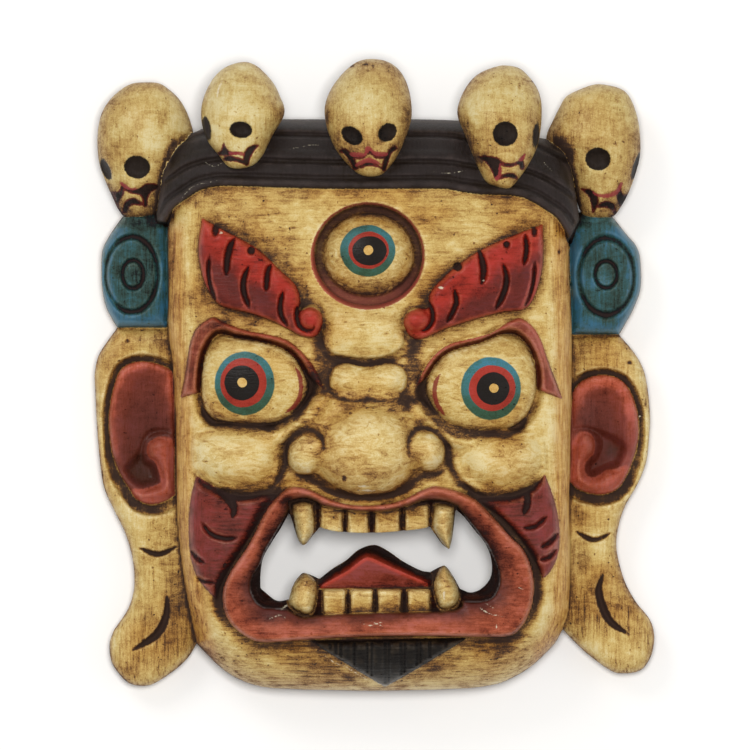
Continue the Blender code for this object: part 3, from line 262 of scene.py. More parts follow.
# carved lines, each a path and its width
BROW_GROOVES = [
    ([(-97, 96.5), (-100.5, 90), (-102.5, 82), (-103, 76), (-103.5, 69)], 4.5),
    ([(-71.5, 78), (-74, 73), (-75, 66), (-75.5, 58)], 4),
    ([(-115, 84), (-116, 73), (-114.5, 62), (-110.5, 52)], 2.2),
    ([(-87.5, 76), (-91, 67), (-91, 58), (-87, 46)], 3.4),
    ([(-63.5, 59), (-65.5, 50), (-65, 42), (-60, 33)], 3),
    ([(-54, 48), (-54, 40), (-52, 34), (-47, 31.3), (-42.5, 32.3), (-42, 35)], 3),
    ([(72.5, 88), (75, 80), (76, 72), (74.5, 63)], 5),
    ([(105, 99), (106, 88), (104, 76)], 3),
    ([(89.5, 78), (92, 68), (90, 57), (84, 45)], 3.4),
    ([(112, 80), (111, 66), (108, 54), (104, 47)], 2.2),
    ([(55.5, 60), (57, 51), (54, 43), (50, 36)], 3),
    ([(38, 51), (40.5, 43), (39.5, 36), (35, 31.5), (31, 31.5)], 3),
]
BROW_NOTCHES = [
    ((-111, 101), (2.6, 4.2)), ((-86, 86.8), (2.6, 3)), ((92, 91), (2.4, 2.6)), ((58, 75.5), (3, 3)),
    ((111.5, 100), (2.2, 3.5)),
]
CREASES = [
    # under and beside each eye
    ([(-43, 3), (-43.5, -7), (-46, -16), (-52, -25), (-60, -32), (-70, -35.8), (-82, -36)], 5.5, 6),
    ([(-76, -36), (-92, -35.3), (-104, -34.5), (-112, -34), (-118, -29), (-121, -22)], 3, 4.5),
    ([(31, -1), (32, -12), (37, -23), (44, -32), (52, -38.5), (62, -41.5), (75, -41.8)], 6.5, 6),
    ([(70, -41.8), (83, -40.8), (93, -41), (101, -37.5), (106, -31)], 3.2, 4.5),
    # round the wings of the nose and down beside the cheeks
    ([(-35.3, -53), (-35.8, -46), (-39, -41), (-45, -38), (-52, -39), (-58, -44), (-61.5, -51),
      (-62.2, -60), (-64.5, -68), (-70, -77)], 3, 8),
    ([(24.5, -57), (23.5, -50), (24.7, -43), (28.5, -38), (35, -36.8), (42, -39), (48, -44.5), (51.5, -52),
      (52.5, -61), (57, -71), (64, -79), (74, -84)], 3.4, 8),
    ([(-127, -68), (-120, -76), (-110, -81), (-98, -84.5), (-86, -84.5), (-75, -80.5), (-67, -74)], 3, 6),
    ([(60, -72), (68, -81), (78, -85.5), (90, -86), (102, -82.5), (112, -77.5), (119, -70)], 3.2, 6),
    # under the nose
    ([(-56, -69), (-47, -71), (-41, -74.5), (-34, -79), (-24, -83), (-8, -85)], 3, 6),
    ([(-12, -85), (8, -84), (20, -79.5), (28, -74), (34, -70), (42, -69.5), (49, -66)], 3, 6),
    # round the pill and the pad over it
    ([(-36, 16), (-30, 12), (-20, 10.3), (-5, 9.3), (8, 10.3), (16, 11.5), (24, 15)], 1.4, 5),
    ([(-35, -10.5), (-31, -12), (-28, -15), (-20, -18), (-8, -18), (6, -18.5), (15, -18.5), (22, -14)],
     -2.5, 3),
]
SIDEBURN_GROOVES = [
    ([(-110, -80), (-101, -87), (-98, -94), (-99.5, -100)], 6),
    ([(-121.5, -102), (-114.5, -110.5), (-104, -114), (-95, -113)], 3),
    ([(-129, -122), (-124, -128), (-118, -131.5)], 3),
    ([(-125.6, -141), (-119.6, -144), (-111, -144.8)], 2),
    ([(107, -81), (106.5, -90), (104, -97.5)], 5),
    ([(103, -106.5), (112, -105.5), (120.5, -98.5)], 3.5),
    ([(115.5, -120.5), (122, -117), (129, -110)], 4),
    ([(115, -129), (122, -127), (127.5, -121.5)], 3.5),
]
LOBE_GROOVES = [
    ([(-166, -121.5), (-152, -126), (-139, -120.3)], 4),
    ([(-146, -155), (-147, -170), (-154, -183), (-171, -194)], 6),
    ([(141, -109.5), (154.5, -116), (166.5, -111)], 4),
    ([(161, -139.5), (158, -153), (165, -172), (179.5, -183)], 6),
]

# rings cut in the ornaments: centre, radii and half width
RING_GROOVES = [
    ((-171, 71), (18.5, 26.5), 2.5),
    ((163.3, 69.5), (19.5, 27), 3),
    ((-170, 71), (7.5, 10), 2),
    ((163, 71), (7.7, 9.5), 2),
]


def smooth_path(points, closed=True, steps=6):
    """Points along a smooth curve through the given ones, with a corner at each SHARP one."""
    given = [np.array(point[:2], float) for point in points]
    corner = [len(point) > 2 for point in points]
    count = len(given)
    t = np.arange(steps)[:, None] / steps
    path = []
    for i in range(count if closed else count - 1):
        j = (i + 1) % count
        start, end = given[i], given[j]
        first_free = (closed or i > 0) and not corner[i]
        last_free = (closed or i < count - 2) and not corner[j]
        leaving = (end - given[i - 1]) / 2 if first_free else end - start
        arriving = (given[(i + 2) % count] - start) / 2 if last_free else end - start
        path.append(
            start * (2 * t**3 - 3 * t**2 + 1) + leaving * (t**3 - 2 * t**2 + t)
            + end * (3 * t**2 - 2 * t**3) + arriving * (t**3 - t**2)
        )
    if not closed:
        path.append(given[-1][None])
    return np.concatenate(path)


class Sheet:
    """A square grid of points over the mask. Its fields are distances in millimetres, positive inside."""

    def __init__(self, step):
        self.step = step
        self.xs = np.arange(-202, 202 + step, step)
        self.ys = np.arange(-227, 225 + step, step)
        self.x, self.y = np.meshgrid(self.xs, self.ys)

    def near(self, path, reach):
        """The part of the grid that lies within reach of a path."""
        low, high = path.min(axis=0) - reach, path.max(axis=0) + reach
        columns = slice(*np.searchsorted(self.xs, (low[0], high[0])))
        rows = slice(*np.searchsorted(self.ys, (low[1], high[1])))
        return rows, columns

    def measure(self, path, closed, reach):
        """The distance to a path, where along it the nearest point is, and what it goes round."""
        window = self.near(path, reach)
        x, y = self.x[window], self.y[window]
        nearest = np.full(x.shape, 1e9)
        along = np.zeros(x.shape)
        inside = np.zeros(x.shape, bool)
        ends = np.roll(path, -1, axis=0) if closed else path[1:]
        lengths = np.hypot(*(ends - path[:len(ends)]).T)
        travelled = np.concatenate([[0], np.cumsum(lengths)])
        for i, ((x0, y0), (x1, y1)) in enumerate(zip(path, ends)):
            if lengths[i] < 1e-9:
                continue
            dx, dy = x1 - x0, y1 - y0
            t = np.clip(((x - x0) * dx + (y - y0) * dy) / lengths[i] ** 2, 0, 1)
            away = (x - x0 - t * dx) ** 2 + (y - y0 - t * dy) ** 2
            closer = away < nearest
            nearest = np.where(closer, away, nearest)
            along = np.where(closer, travelled[i] + t * lengths[i], along)
            if dy:
                inside ^= ((y0 > y) != (y1 > y)) & (x < x0 + (y - y0) * dx / dy)
        return window, np.sqrt(nearest), along / travelled[-1], inside

    def shape(self, points, reach=30):
        """The field of a closed smooth outline."""
        window, away, _, inside = self.measure(smooth_path(points), True, reach)
        field = np.full(self.x.shape, -float(reach))
        field[window] = np.where(inside, away, np.maximum(-away, -reach))
        return field

    def stroke(self, points, width, taper=0.25, reach=12):
        """The field of a line with a width, drawn to points over this part of its length at both ends."""
        window, away, along, _ = self.measure(smooth_path(points, closed=False), False, reach)
        half = width / 2 * np.sqrt(np.clip(np.minimum(along, 1 - along) / max(taper, 1e-3), 0, 1))
        field = np.full(self.x.shape, -float(reach))
        field[window] = np.maximum(half - away, -reach)
        return field

    def ellipse(self, centre, radii, turn=0):
        """The field of an ellipse, turned by this many degrees."""
        u, v = self.x - centre[0], self.y - centre[1]
        angle = np.radians(turn)
        across, up = u * np.cos(angle) + v * np.sin(angle), v * np.cos(angle) - u * np.sin(angle)
        return (1 - np.hypot(across / radii[0], up / radii[1])) * min(radii)

    def box(self, left, right, bottom, top, corner):
        """The field of an upright rectangle with round corners."""
        across = abs(self.x - (left + right) / 2) - (right - left) / 2 + corner
        up = abs(self.y - (bottom + top) / 2) - (top - bottom) / 2 + corner
        outside = np.hypot(np.maximum(across, 0), np.maximum(up, 0))
        return corner - outside - np.minimum(np.maximum(across, up), 0)

    def laid(self, inside, below, above):
        """One surface over another inside a field, with a soft edge one step wide."""
        return below + (above - below) * np.clip(inside / self.step + 0.5, 0, 1)

    def blurred(self, field, width):
        """The field under a bell of this width, in millimetres."""
        count = int(np.ceil(3 * width / self.step))
        bell = np.exp(-0.5 * (np.arange(-count, count + 1) * self.step / width) ** 2)
        bell /= bell.sum()
        for axis in (0, 1):
            pad = [(count, count) if i == axis else (0, 0) for i in (0, 1)]
            padded = np.pad(field, pad, mode="edge")
            size = field.shape[axis]
            field = sum(
                weight * np.take(padded, np.arange(i, i + size), axis)
                for i, weight in enumerate(bell)
            )
        return field

    def read(self, field, x, y):
        """The value of a field at any points, from the four grid points round each."""
        u = (x - self.xs[0]) / self.step
        v = (y - self.ys[0]) / self.step
        i = np.clip(u.astype(int), 0, field.shape[1] - 2)
        j = np.clip(v.astype(int), 0, field.shape[0] - 2)
        u, v = u - i, v - j
        low = field[j, i] * (1 - u) + field[j, i + 1] * u
        high = field[j + 1, i] * (1 - u) + field[j + 1, i + 1] * u
        return low * (1 - v) + high * v


def rise(inside, width):
    """0 at the edge of a field and 1 this far inside it, eased at both ends."""
    t = np.clip(inside / width, 0, 1)
    return t * t * (3 - 2 * t)


def swell(inside, width):
    """0 at the edge of a field and 1 this far inside it, round like a quarter of a circle."""
    t = np.clip(inside / width, 0, 1)
    return np.sqrt(1 - (1 - t) ** 2)


def over(below, above, radius):
    """The higher of two surfaces, with the crease between them filled."""
    h = np.clip(0.5 + (above - below) / (2 * radius), 0, 1)
    return below + (above - below) * h + radius * h * (1 - h)


def crest(inside, width):
    """1 at the middle of a line and 0 this far from it, round like a ridge."""
    return np.clip(1 - (inside / width) ** 2, 0, 1)


# --- carving
# raised forms: how far over or under the face each starts, and how high it stands
RAISED = {
    "cheek": (-8, 21), "cheek_ridge": (-6, 12), "nose_wing": (-2, 20), "nose_tip": (-2, 35), "pill": (-3, 14),
    "third_eye": (-13, 26), "scroll": (3, 12),
}
NOSE_AT_BRIDGE = 13
NOSE_SLOPE = 15
# how high the other forms stand, and how deep the cuts are
HEIGHTS = {
    "muzzle": 6, "pad": 9, "eyeball": 27, "lid": 11, "brow": 8, "sideburn": 5, "beard": 5, "lip": 12,
    "fang": 17, "tragus": 12,
}
DEPTHS = {
    "socket": 8, "third_eye": 12, "brow": 5, "sideburn": 4, "lobe": 4, "ring": 4, "gutter": 6, "comb": 1.8,
    "chip": 0.7,
}
# how far out a field is measured, where that isn't 30
REACH = {"face": 60, "opening": 60, "left_ear": 40, "right_ear": 40, "lip_outer": 40, "lip_inner": 40}
PAIRS = ("brow", "lid", "eyeball", "sideburn", "ornament", "ear", "concha", "tragus", "pit")


def fields(sheet):
    """Every carved shape as a field."""
    s = {name: sheet.shape(points, REACH.get(name, 30)) for name, points in OUTLINES.items()}
    for name in PAIRS:
        s[name] = np.maximum(s["left_" + name], s["right_" + name])
    s["band"] = sheet.shape(BRIM + CROWN, 40)
    s["brim"] = sheet.stroke(BRIM, 0, reach=75)
    s["crown"] = sheet.stroke(CROWN, 0, reach=75)
    s["fangs"] = np.maximum.reduce([sheet.shape(points, 15) for points in LEFT_FANGS + RIGHT_FANGS])
    rows = ((UPPER_INCISORS, (-41, 42), (-112, -90)), (LOWER_INCISORS, (-43, 43), (-166.5, -149.5)))
    s["incisors"] = np.maximum.reduce([
        sheet.box(*sides, *heights, 2) for teeth, _, heights in rows for sides in teeth
    ])
    s["tooth_rows"] = np.maximum.reduce([sheet.box(*ends, *heights, 2) for _, ends, heights in rows])
    return s


def domed(sheet, level, to_sides, to_ends):
    """A level that falls away by these amounts towards the sides of the face, its crown and its chin."""
    across, up = sheet.x / HALF_FACE[0], (sheet.y - FACE_MIDDLE) / HALF_FACE[1]
    return level - to_sides * across ** 2 - to_ends * up ** 2


def mound(sheet, inside, width, edge=5):
    """0 to 1 like swell, with the ridges down the middle of a long shape rounded off."""
    bump = swell(inside, width)
    soft = sheet.blurred(bump, 0.3 * width)
    return bump + (soft - bump) * rise(inside - 1, edge)


def bump(inside, shape, foot, height):
    """A raised shape, whose sides fall away steeply outside it."""
    return foot + height * shape - 3 * np.maximum(-inside, 0)


def groove(sheet, points, width, depth, ease=3):
    """A cut along a path, round at the bottom and eased at its edges."""
    return depth * rise(sheet.stroke(points, width + ease, 0.18), (width + ease) / 2)


def carve_face(sheet, s):
    """The height of the face with its features, without the mouth."""
    y = sheet.y
    level = domed(sheet, FACE_LEVEL, 15, 7)
    z = level + HEIGHTS["muzzle"] * rise(sheet.ellipse((0, -125), (125, 85)), 60)

    # sockets, then cheeks that are sharp below and run up softly to the eyes
    socket = -s["eyeball"]
    z = z - DEPTHS["socket"] * (1 - rise(socket, 9))
    for name in ("left_cheek", "right_cheek"):
        cheek = s[name]
        z = over(z, level + bump(cheek, mound(sheet, cheek, 24), *RAISED["cheek"]), 1)
    ridges = (
        [(-34, -14), (-44, -26), (-56, -36), (-70, -43), (-90, -46)],
        [(24, -18), (33, -28), (46, -39), (60, -45), (80, -48)],
    )
    for points in ridges:
        ridge = sheet.stroke(points, 17, 0.1)
        z = over(z, level + bump(ridge, swell(ridge, 8), *RAISED["cheek_ridge"]), 2)

    # nose: its slope down to the tip, the wings and the ball
    slope = np.clip((8 - y) / 60, 0, 1)
    nose = (NOSE_AT_BRIDGE + NOSE_SLOPE * slope) * mound(sheet, s["nose"], 18)
    z = over(z, level + bump(s["nose"], nose, -8, 1), 1.5)
    wings = np.maximum(sheet.ellipse((-48, -55), (13.5, 15.5)), sheet.ellipse((37, -52.5), (13, 15)))
    z = over(z, level + bump(wings, swell(wings, 13), *RAISED["nose_wing"]), 3)
    tip = sheet.ellipse((-5, -52), (37, 33))
    z = over(z, level + bump(tip, swell(tip, 33), *RAISED["nose_tip"]), 6)
    # the pad between the brows and the pill across the bridge
    pad = mound(sheet, s["glabella"], 15)
    z = z + HEIGHTS["pad"] * pad * (1 - rise(y - 34, 22))
    z = over(z, level + bump(s["pill"], mound(sheet, s["pill"], 11), *RAISED["pill"]), 1)

    # eyeballs and the lids that overhang them
    for centre, name in (((-86, -4), "left"), ((78, -6), "right")):
        ball = sheet.ellipse(centre, (48, 41))
        opening = s[name + "_eyeball"]
        bulge = level - 14 + HEIGHTS["eyeball"] * swell(ball, 41) - 4 * (1 - swell(opening, 6))
        z = sheet.laid(opening, z, bulge)
    lid = level - 5 + HEIGHTS["lid"] * rise(socket - 0.5, 4.5) * swell(s["lid"] + 0.5, 3)
    z = sheet.laid(s["lid"], z, np.maximum(z, lid))

    # third eye in its ring
    ring = sheet.ellipse((-4.3, 83.5), (39, 36.5))
    z = z - DEPTHS["third_eye"] * rise(ring + 1, 4)
    eye = sheet.ellipse((-4, 84), (32, 29.5))
    z = over(z, level + bump(eye, swell(eye, 29.5), *RAISED["third_eye"]), 1)

    # brows with their scrolls and lobes
    z = z - 2 * rise(s["brow"] + 9, 9) * (1 - rise(s["brow"], 1)) + HEIGHTS["brow"] * swell(s["brow"], 7)
    scrolls = np.maximum(sheet.ellipse((-44.5, 38.5), (8.5, 9.5)), sheet.ellipse((29.5, 38), (9, 8.5)))
    z = over(z, level + bump(scrolls, swell(scrolls, 8), *RAISED["scroll"]), 0.5)
    for points, width in BROW_GROOVES:
        z = z - groove(sheet, points, width, DEPTHS["brow"])
    for centre, radii in BROW_NOTCHES:
        z = z - DEPTHS["brow"] * rise(sheet.ellipse(centre, radii) + 1, 2.5)

    # sideburns and beard
    z = z + HEIGHTS["sideburn"] * swell(s["sideburn"], 6)
    for points, width in SIDEBURN_GROOVES:
        z = z - groove(sheet, points, width, DEPTHS["sideburn"])
    z = z + HEIGHTS["beard"] * swell(s["beard"], 4)
    for points, width, depth in CREASES:
        z = z - groove(sheet, points, width, 0.55 * depth, 7)
    return z


def carve_mouth(sheet, s, z):
    """The rolled lip, the teeth and the tongue cut into the face."""
    level = domed(sheet, FACE_LEVEL + 4, 15, 7)
    width = np.maximum(s["lip_outer"] - s["lip_inner"], 1)
    across = np.clip(s["lip_outer"] / width, 0, 1)
    lip = level + HEIGHTS["lip"] * swell(s["lip_outer"], 4) - 9 * across ** 1.5
    z = z - 4 * rise(s["lip_outer"] + 9, 9) * (1 - rise(s["lip_outer"], 1))
    z = sheet.laid(s["lip_outer"], z, lip)
    gum = level - 12 - 12 * rise(s["lip_inner"] - 1, 7)
    gum = np.maximum(gum, level - 14 + 4 * np.minimum(s["tooth_rows"], 0))
    teeth = np.maximum(
        level - 12 + 5 * swell(s["incisors"], 1.2) + 2 * swell(s["incisors"], 7),
        level - 14 + HEIGHTS["fang"] * swell(s["fangs"], 8),
    )
    tongue = level - 12 - 8 * rise(-127 - sheet.y, 22) - 2 * np.maximum(-s["tongue_face"], 0)
    mouth = sheet.laid(s["tongue"], gum, np.maximum(gum, tongue))
    mouth = sheet.laid(np.maximum(s["incisors"], s["fangs"]), mouth, teeth)
    return sheet.laid(s["lip_inner"], z, mouth)


def carve_ears(sheet, s):
    """The ears with their lobes."""
    z = EAR_LEVEL - 12 + 12 * swell(s["ear"], 13)
    outside = -s["concha"]
    gutter = rise(outside + 1, 2) * (1 - rise(outside - gutter_width(sheet) + 1, 3))
    z = z - DEPTHS["gutter"] * gutter
    bowl = EAR_LEVEL - 5 + 5 * swell(s["concha"], 4) - 5 * rise(s["concha"] - 3, 16)
    bowl = bowl - 7 * rise(s["pit"] + 1, 7)
    z = sheet.laid(s["concha"], z, bowl)
    tragus = EAR_LEVEL - 9 + HEIGHTS["tragus"] * swell(s["tragus"], 8)
    z = sheet.laid(s["tragus"], z, np.maximum(z, tragus))
    for points, width in LOBE_GROOVES:
        z = z - DEPTHS["lobe"] * rise(sheet.stroke(points, width + 1), width / 2)
    return z


def gutter_width(sheet):
    """The width of the gutter round the inner ear, which widens below."""
    return 4 + 3 * rise(-40 - sheet.y, 40)


def carve_ornaments(sheet, s):
    """The eight-sided blocks with two rings cut in each."""
    z = ORNAMENT_LEVEL - 14 + 14 * swell(s["ornament"], 9)
    for centre, radii, half in RING_GROOVES:
        ring = abs(sheet.ellipse(centre, radii))
        z = z - DEPTHS["ring"] * (1 - rise(ring, half))
    return z


def carve_band(sheet, s):
    """The cloth band: a bead along its brim and soft folds above it, sloping back to the crown."""
    up = -s["brim"]
    z = BAND_LEVEL - 16 * (sheet.x / 150) ** 2 - 34 * (np.clip(up, 0, 60) / 52) ** 1.8
    z = z - 14 + 14 * swell(-s["crown"], 12)
    z = z + 3 * crest(up - 3, 3.5) - 2 * crest(up - 8, 2)
    for fold in BAND_FOLDS:
        z = z - 2.5 * crest(up - fold, 2.2) + 1.5 * crest(up - fold - 5, 4)
    return z


def relief(sheet, s):
    """The height of the carved front over the whole sheet."""
    chin = rise(-150 - sheet.y, 50)
    side = 1 - swell(s["face"] + 0.5, 20 + 14 * chin)
    face = carve_mouth(sheet, s, carve_face(sheet, s)) - (24 + 20 * chin) * side
    z = sheet.laid(s["ornament"], carve_ears(sheet, s), carve_ornaments(sheet, s))
    z = sheet.laid(s["face"], z, face)
    z = sheet.laid(s["band"], z, carve_band(sheet, s))
    return sheet.blurred(z, 0.4 * sheet.step)


def outline(s):
    """The field of the wood: inside the silhouette and outside the open mouth."""
    parts = [s[name] for name in ("face", "band", "ear", "ornament")]
    return np.minimum(np.maximum.reduce(parts), -s["opening"])


# --- meshes
def edges(faces):
    """The three edges of each triangle."""
    return np.concatenate([faces[:, [0, 1]], faces[:, [1, 2]], faces[:, [2, 0]]])


def cut_grid(sheet, field):
    """The sheet's points and triangles inside a field, with the points beside its edge drawn onto it."""
    slope_y, slope_x = np.gradient(field, sheet.step)
    steep = np.maximum(slope_x**2 + slope_y**2, 0.25)
    beside = abs(field) < 0.3 * sheet.step
    x = np.where(beside, sheet.x - field * slope_x / steep, sheet.x).ravel()
    y = np.where(beside, sheet.y - field * slope_y / steep, sheet.y).ravel()
    value = np.where(beside, 0, field).ravel()

    index = np.arange(value.size).reshape(field.shape)
    a, b, c, d = index[:-1, :-1], index[:-1, 1:], index[1:, 1:], index[1:, :-1]
    even = (np.indices(a.shape).sum(axis=0) % 2 == 0)
    halves = (
        np.stack([a, b, np.where(even, c, d)], -1),
        np.stack([np.where(even, a, b), c, d], -1),
    )
    faces = np.concatenate([half.reshape(-1, 3) for half in halves])
    sign = np.sign(value[faces])
    whole = faces[(sign >= 0).all(axis=1) & (sign > 0).any(axis=1)]
    mixed = (sign > 0).any(axis=1) & (sign < 0).any(axis=1)
    faces, sign = faces[mixed], sign[mixed]

    # turn each cut triangle until its first corner is inside and its last one isn't
    for _ in range(2):
        turn = ~((sign[:, 0] > 0) & (sign[:, 2] <= 0))
        faces[turn] = np.roll(faces[turn], -1, axis=1)
        sign[turn] = np.roll(sign[turn], -1, axis=1)
    ends = edges(faces)
    crossing = (value[ends].min(axis=1) < 0) & (value[ends].max(axis=1) > 0)
    low, high = np.sort(ends, axis=1).T
    keys, place = np.unique((low * value.size + high)[crossing], return_inverse=True)
    low, high = np.divmod(keys, value.size)
    share = value[low] / (value[low] - value[high])
    x = np.concatenate([x, x[low] + share * (x[high] - x[low])])
    y = np.concatenate([y, y[low] + share * (y[high] - y[low])])
    cut = np.full(len(ends), -1)
    cut[crossing] = value.size + place
    first, second, third = cut.reshape(3, -1)
    p, q, r = faces.T
    last_is_out = sign[:, 2] < 0
    last = np.where(last_is_out, third, r)
    pieces = [
        np.stack([p, first, last], 1)[sign[:, 1] < 0],
        np.stack([p, q, third], 1)[sign[:, 1] == 0],
        np.stack([p, q, second], 1)[(sign[:, 1] > 0) & last_is_out],
        np.stack([p, second, third], 1)[(sign[:, 1] > 0) & last_is_out],
    ]
    faces = np.concatenate([whole] + pieces)
    used, faces = np.unique(faces, return_inverse=True)
    return x[used], y[used], faces.reshape(-1, 3)


def carved_block(sheet, field, front, back):
    """Points and triangles of the closed solid between two surfaces, inside a field."""
    x, y, faces = cut_grid(sheet, field)
    count = len(x)
    points = np.concatenate([
        np.stack([x, y, sheet.read(front, x, y)], 1),
        np.stack([x, y, sheet.read(back, x, y)], 1),
    ])
    ends = edges(faces)
    keys = ends[:, 0] * count + ends[:, 1]
    opposite = ends[:, 1] * count + ends[:, 0]
    start, end = ends[~np.isin(keys, opposite)].T
    walls = np.concatenate([
        np.stack([end, start, start + count], 1),
        np.stack([end, start + count, end + count], 1),
    ])
    return points, np.concatenate([faces, faces[:, ::-1] + count, walls])


# --- skulls
# Skulls along the crown: the outline from the front, and the height of the middle at its top and bottom.
SKULLS = [
    ([(-162, 206.3), (-152, 205.7), (-145, 201.5), (-138, 195), (-133, 187), (-129.5, 178), (-127.7, 169),
      (-131, 157), (-138, 143), (-145, 126), (-151, 115.5), (-161, 111.3), (-174, 110.8), (-180, 116),
      (-185.5, 127.5), (-190.5, 139), (-194, 150), (-195.3, 164), (-194, 178), (-190, 189), (-182, 198.5),
      (-172, 205)], 29, 27),
    ([(-92, 219.7), (-84, 217.7), (-77, 212), (-70, 203.5), (-66, 195), (-63, 187), (-64, 180), (-70, 170),
      (-74.5, 161), (-78.5, 153), (-85, 146.5), (-95, 144.2), (-102.5, 146), (-109, 154), (-115.5, 162),
      (-119.5, 171), (-121.3, 181), (-120.5, 191), (-117, 201), (-111, 210.5), (-103, 216.7)], 52, 74),
    ([(-3, 221.5), (8, 220), (16, 215), (21.5, 207), (24.7, 197), (26, 187), (25.5, 178), (21.5, 165),
      (17, 155), (12, 147), (5, 140), (-4, 138.5), (-12, 141), (-20.5, 149), (-27, 157.5), (-31, 166),
      (-34, 176), (-34.8, 187), (-32, 197), (-27, 205.5), (-20, 213.5), (-12, 219.5)], 58, 80),
    ([(91, 217.3), (101, 215.5), (108, 209.5), (114, 201), (116.7, 192), (117, 183), (116.2, 172),
      (113.5, 159), (107.5, 147), (101, 137.5), (94, 130.5), (85, 132), (77.5, 135.5), (71.5, 147),
      (67, 158), (62.5, 170), (58.5, 180), (58.3, 188), (62, 198), (68, 207), (75, 212.5), (84, 216)],
     52, 74),
    ([(156, 205), (166, 204), (174, 201.5), (179, 197), (183, 189), (186, 178), (187.3, 165), (186.8, 153),
      (183, 139), (178.3, 127), (173.5, 118.5), (168, 111.8), (158, 110.3), (148, 112), (143, 121),
      (139, 137), (132, 152),
      (122, 163), (121.5, 170), (126, 180), (130.5, 189), (135, 196.3), (145, 201.5)], 29, 27),
]

# hollows of the eyes: middle, radii and turn
SKULL_EYES = [
    ((-166.5, 146), (9.2, 8), -8), ((-189, 144.7), (3.2, 8.3), 24), ((-93, 170.8), (8, 5.8), -5),
    ((-117.2, 172.3), (3.1, 8.8), 10), ((-15.7, 166.6), (8.2, 5.7), -36), ((9, 168.8), (7.3, 5.8), 45),
    ((91, 168), (8.7, 8.7), 0), ((112.7, 167.3), (2.4, 9), -5), ((156.7, 151.6), (9, 8), -8),
    ((184.6, 147.5), (2.6, 10.5), -19),
]


def eye_hollows(x, y):
    """How deep the skulls are cut for their eyes."""
    depth = np.zeros(len(x))
    for (middle_x, middle_y), (across, up), turn in SKULL_EYES:
        turn = np.radians(turn)
        u = (x - middle_x) * np.cos(turn) + (y - middle_y) * np.sin(turn)
        v = (y - middle_y) * np.cos(turn) - (x - middle_x) * np.sin(turn)
        depth = np.maximum(depth, 4 * rise(1.15 - np.hypot(u / across, v / up), 0.75))
    return depth


def skull(outline, middle_at_top, middle_at_bottom, rings):
    """Points and triangles of a skull: rounded rings between the two sides of its outline."""
    path = smooth_path(outline)
    top, bottom = path[:, 1].argmax(), path[:, 1].argmin()
    right = path[top:bottom + 1]
    left = np.concatenate([path[bottom:], path[:top + 1]])
    high, low = path[top, 1], path[bottom, 1]
    tilt = np.pi * np.arange(1, rings) / rings
    tilt = tilt + 0.3 * np.sin(tilt)
    y = (high + low) / 2 + (high - low) / 2 * np.cos(tilt)
    to_right = np.interp(-y, -right[:, 1], right[:, 0])
    to_left = np.interp(y, left[:, 1], left[:, 0])
    half = (to_right - to_left) / 2
    middle = (to_right + to_left) / 2
    level = np.interp(y, (low, high), (middle_at_bottom, middle_at_top))
    sides = 2 * rings
    turn = 2 * np.pi * np.arange(sides) / sides
    turn = turn - 0.5 * np.sin(turn)
    deep = np.where(np.cos(turn) > 0, SKULL_FRONT, SKULL_BACK)
    full = np.sqrt(np.sin(tilt)) * (half / half.max()) ** 0.5
    points = np.stack([
        middle[:, None] + half[:, None] * np.sin(turn),
        y[:, None] + 0 * turn,
        level[:, None] + full[:, None] * deep * np.cos(turn),
    ], -1).reshape(-1, 3)
    ends = [(*path[top], middle_at_top), (*path[bottom], middle_at_bottom)]
    points = np.concatenate([points, ends])
    front = rise(points[:, 2] - middle_at_bottom, 8)
    points[:, 2] -= front * eye_hollows(points[:, 0], points[:, 1])

    index = np.arange((rings - 1) * sides).reshape(rings - 1, sides)
    beside = np.roll(index, -1, axis=1)
    upper, lower = index[:-1].ravel(), index[1:].ravel()
    upper_beside, lower_beside = beside[:-1].ravel(), beside[1:].ravel()
    top, bottom = len(points) - 2, len(points) - 1
    faces = np.concatenate([
        np.stack([upper, lower, lower_beside], 1),
        np.stack([upper, lower_beside, upper_beside], 1),
        np.stack([np.full(sides, top), index[0], beside[0]], 1),
        np.stack([np.full(sides, bottom), beside[-1], index[-1]], 1),
    ])
    return points, faces


# --- what the paint follows

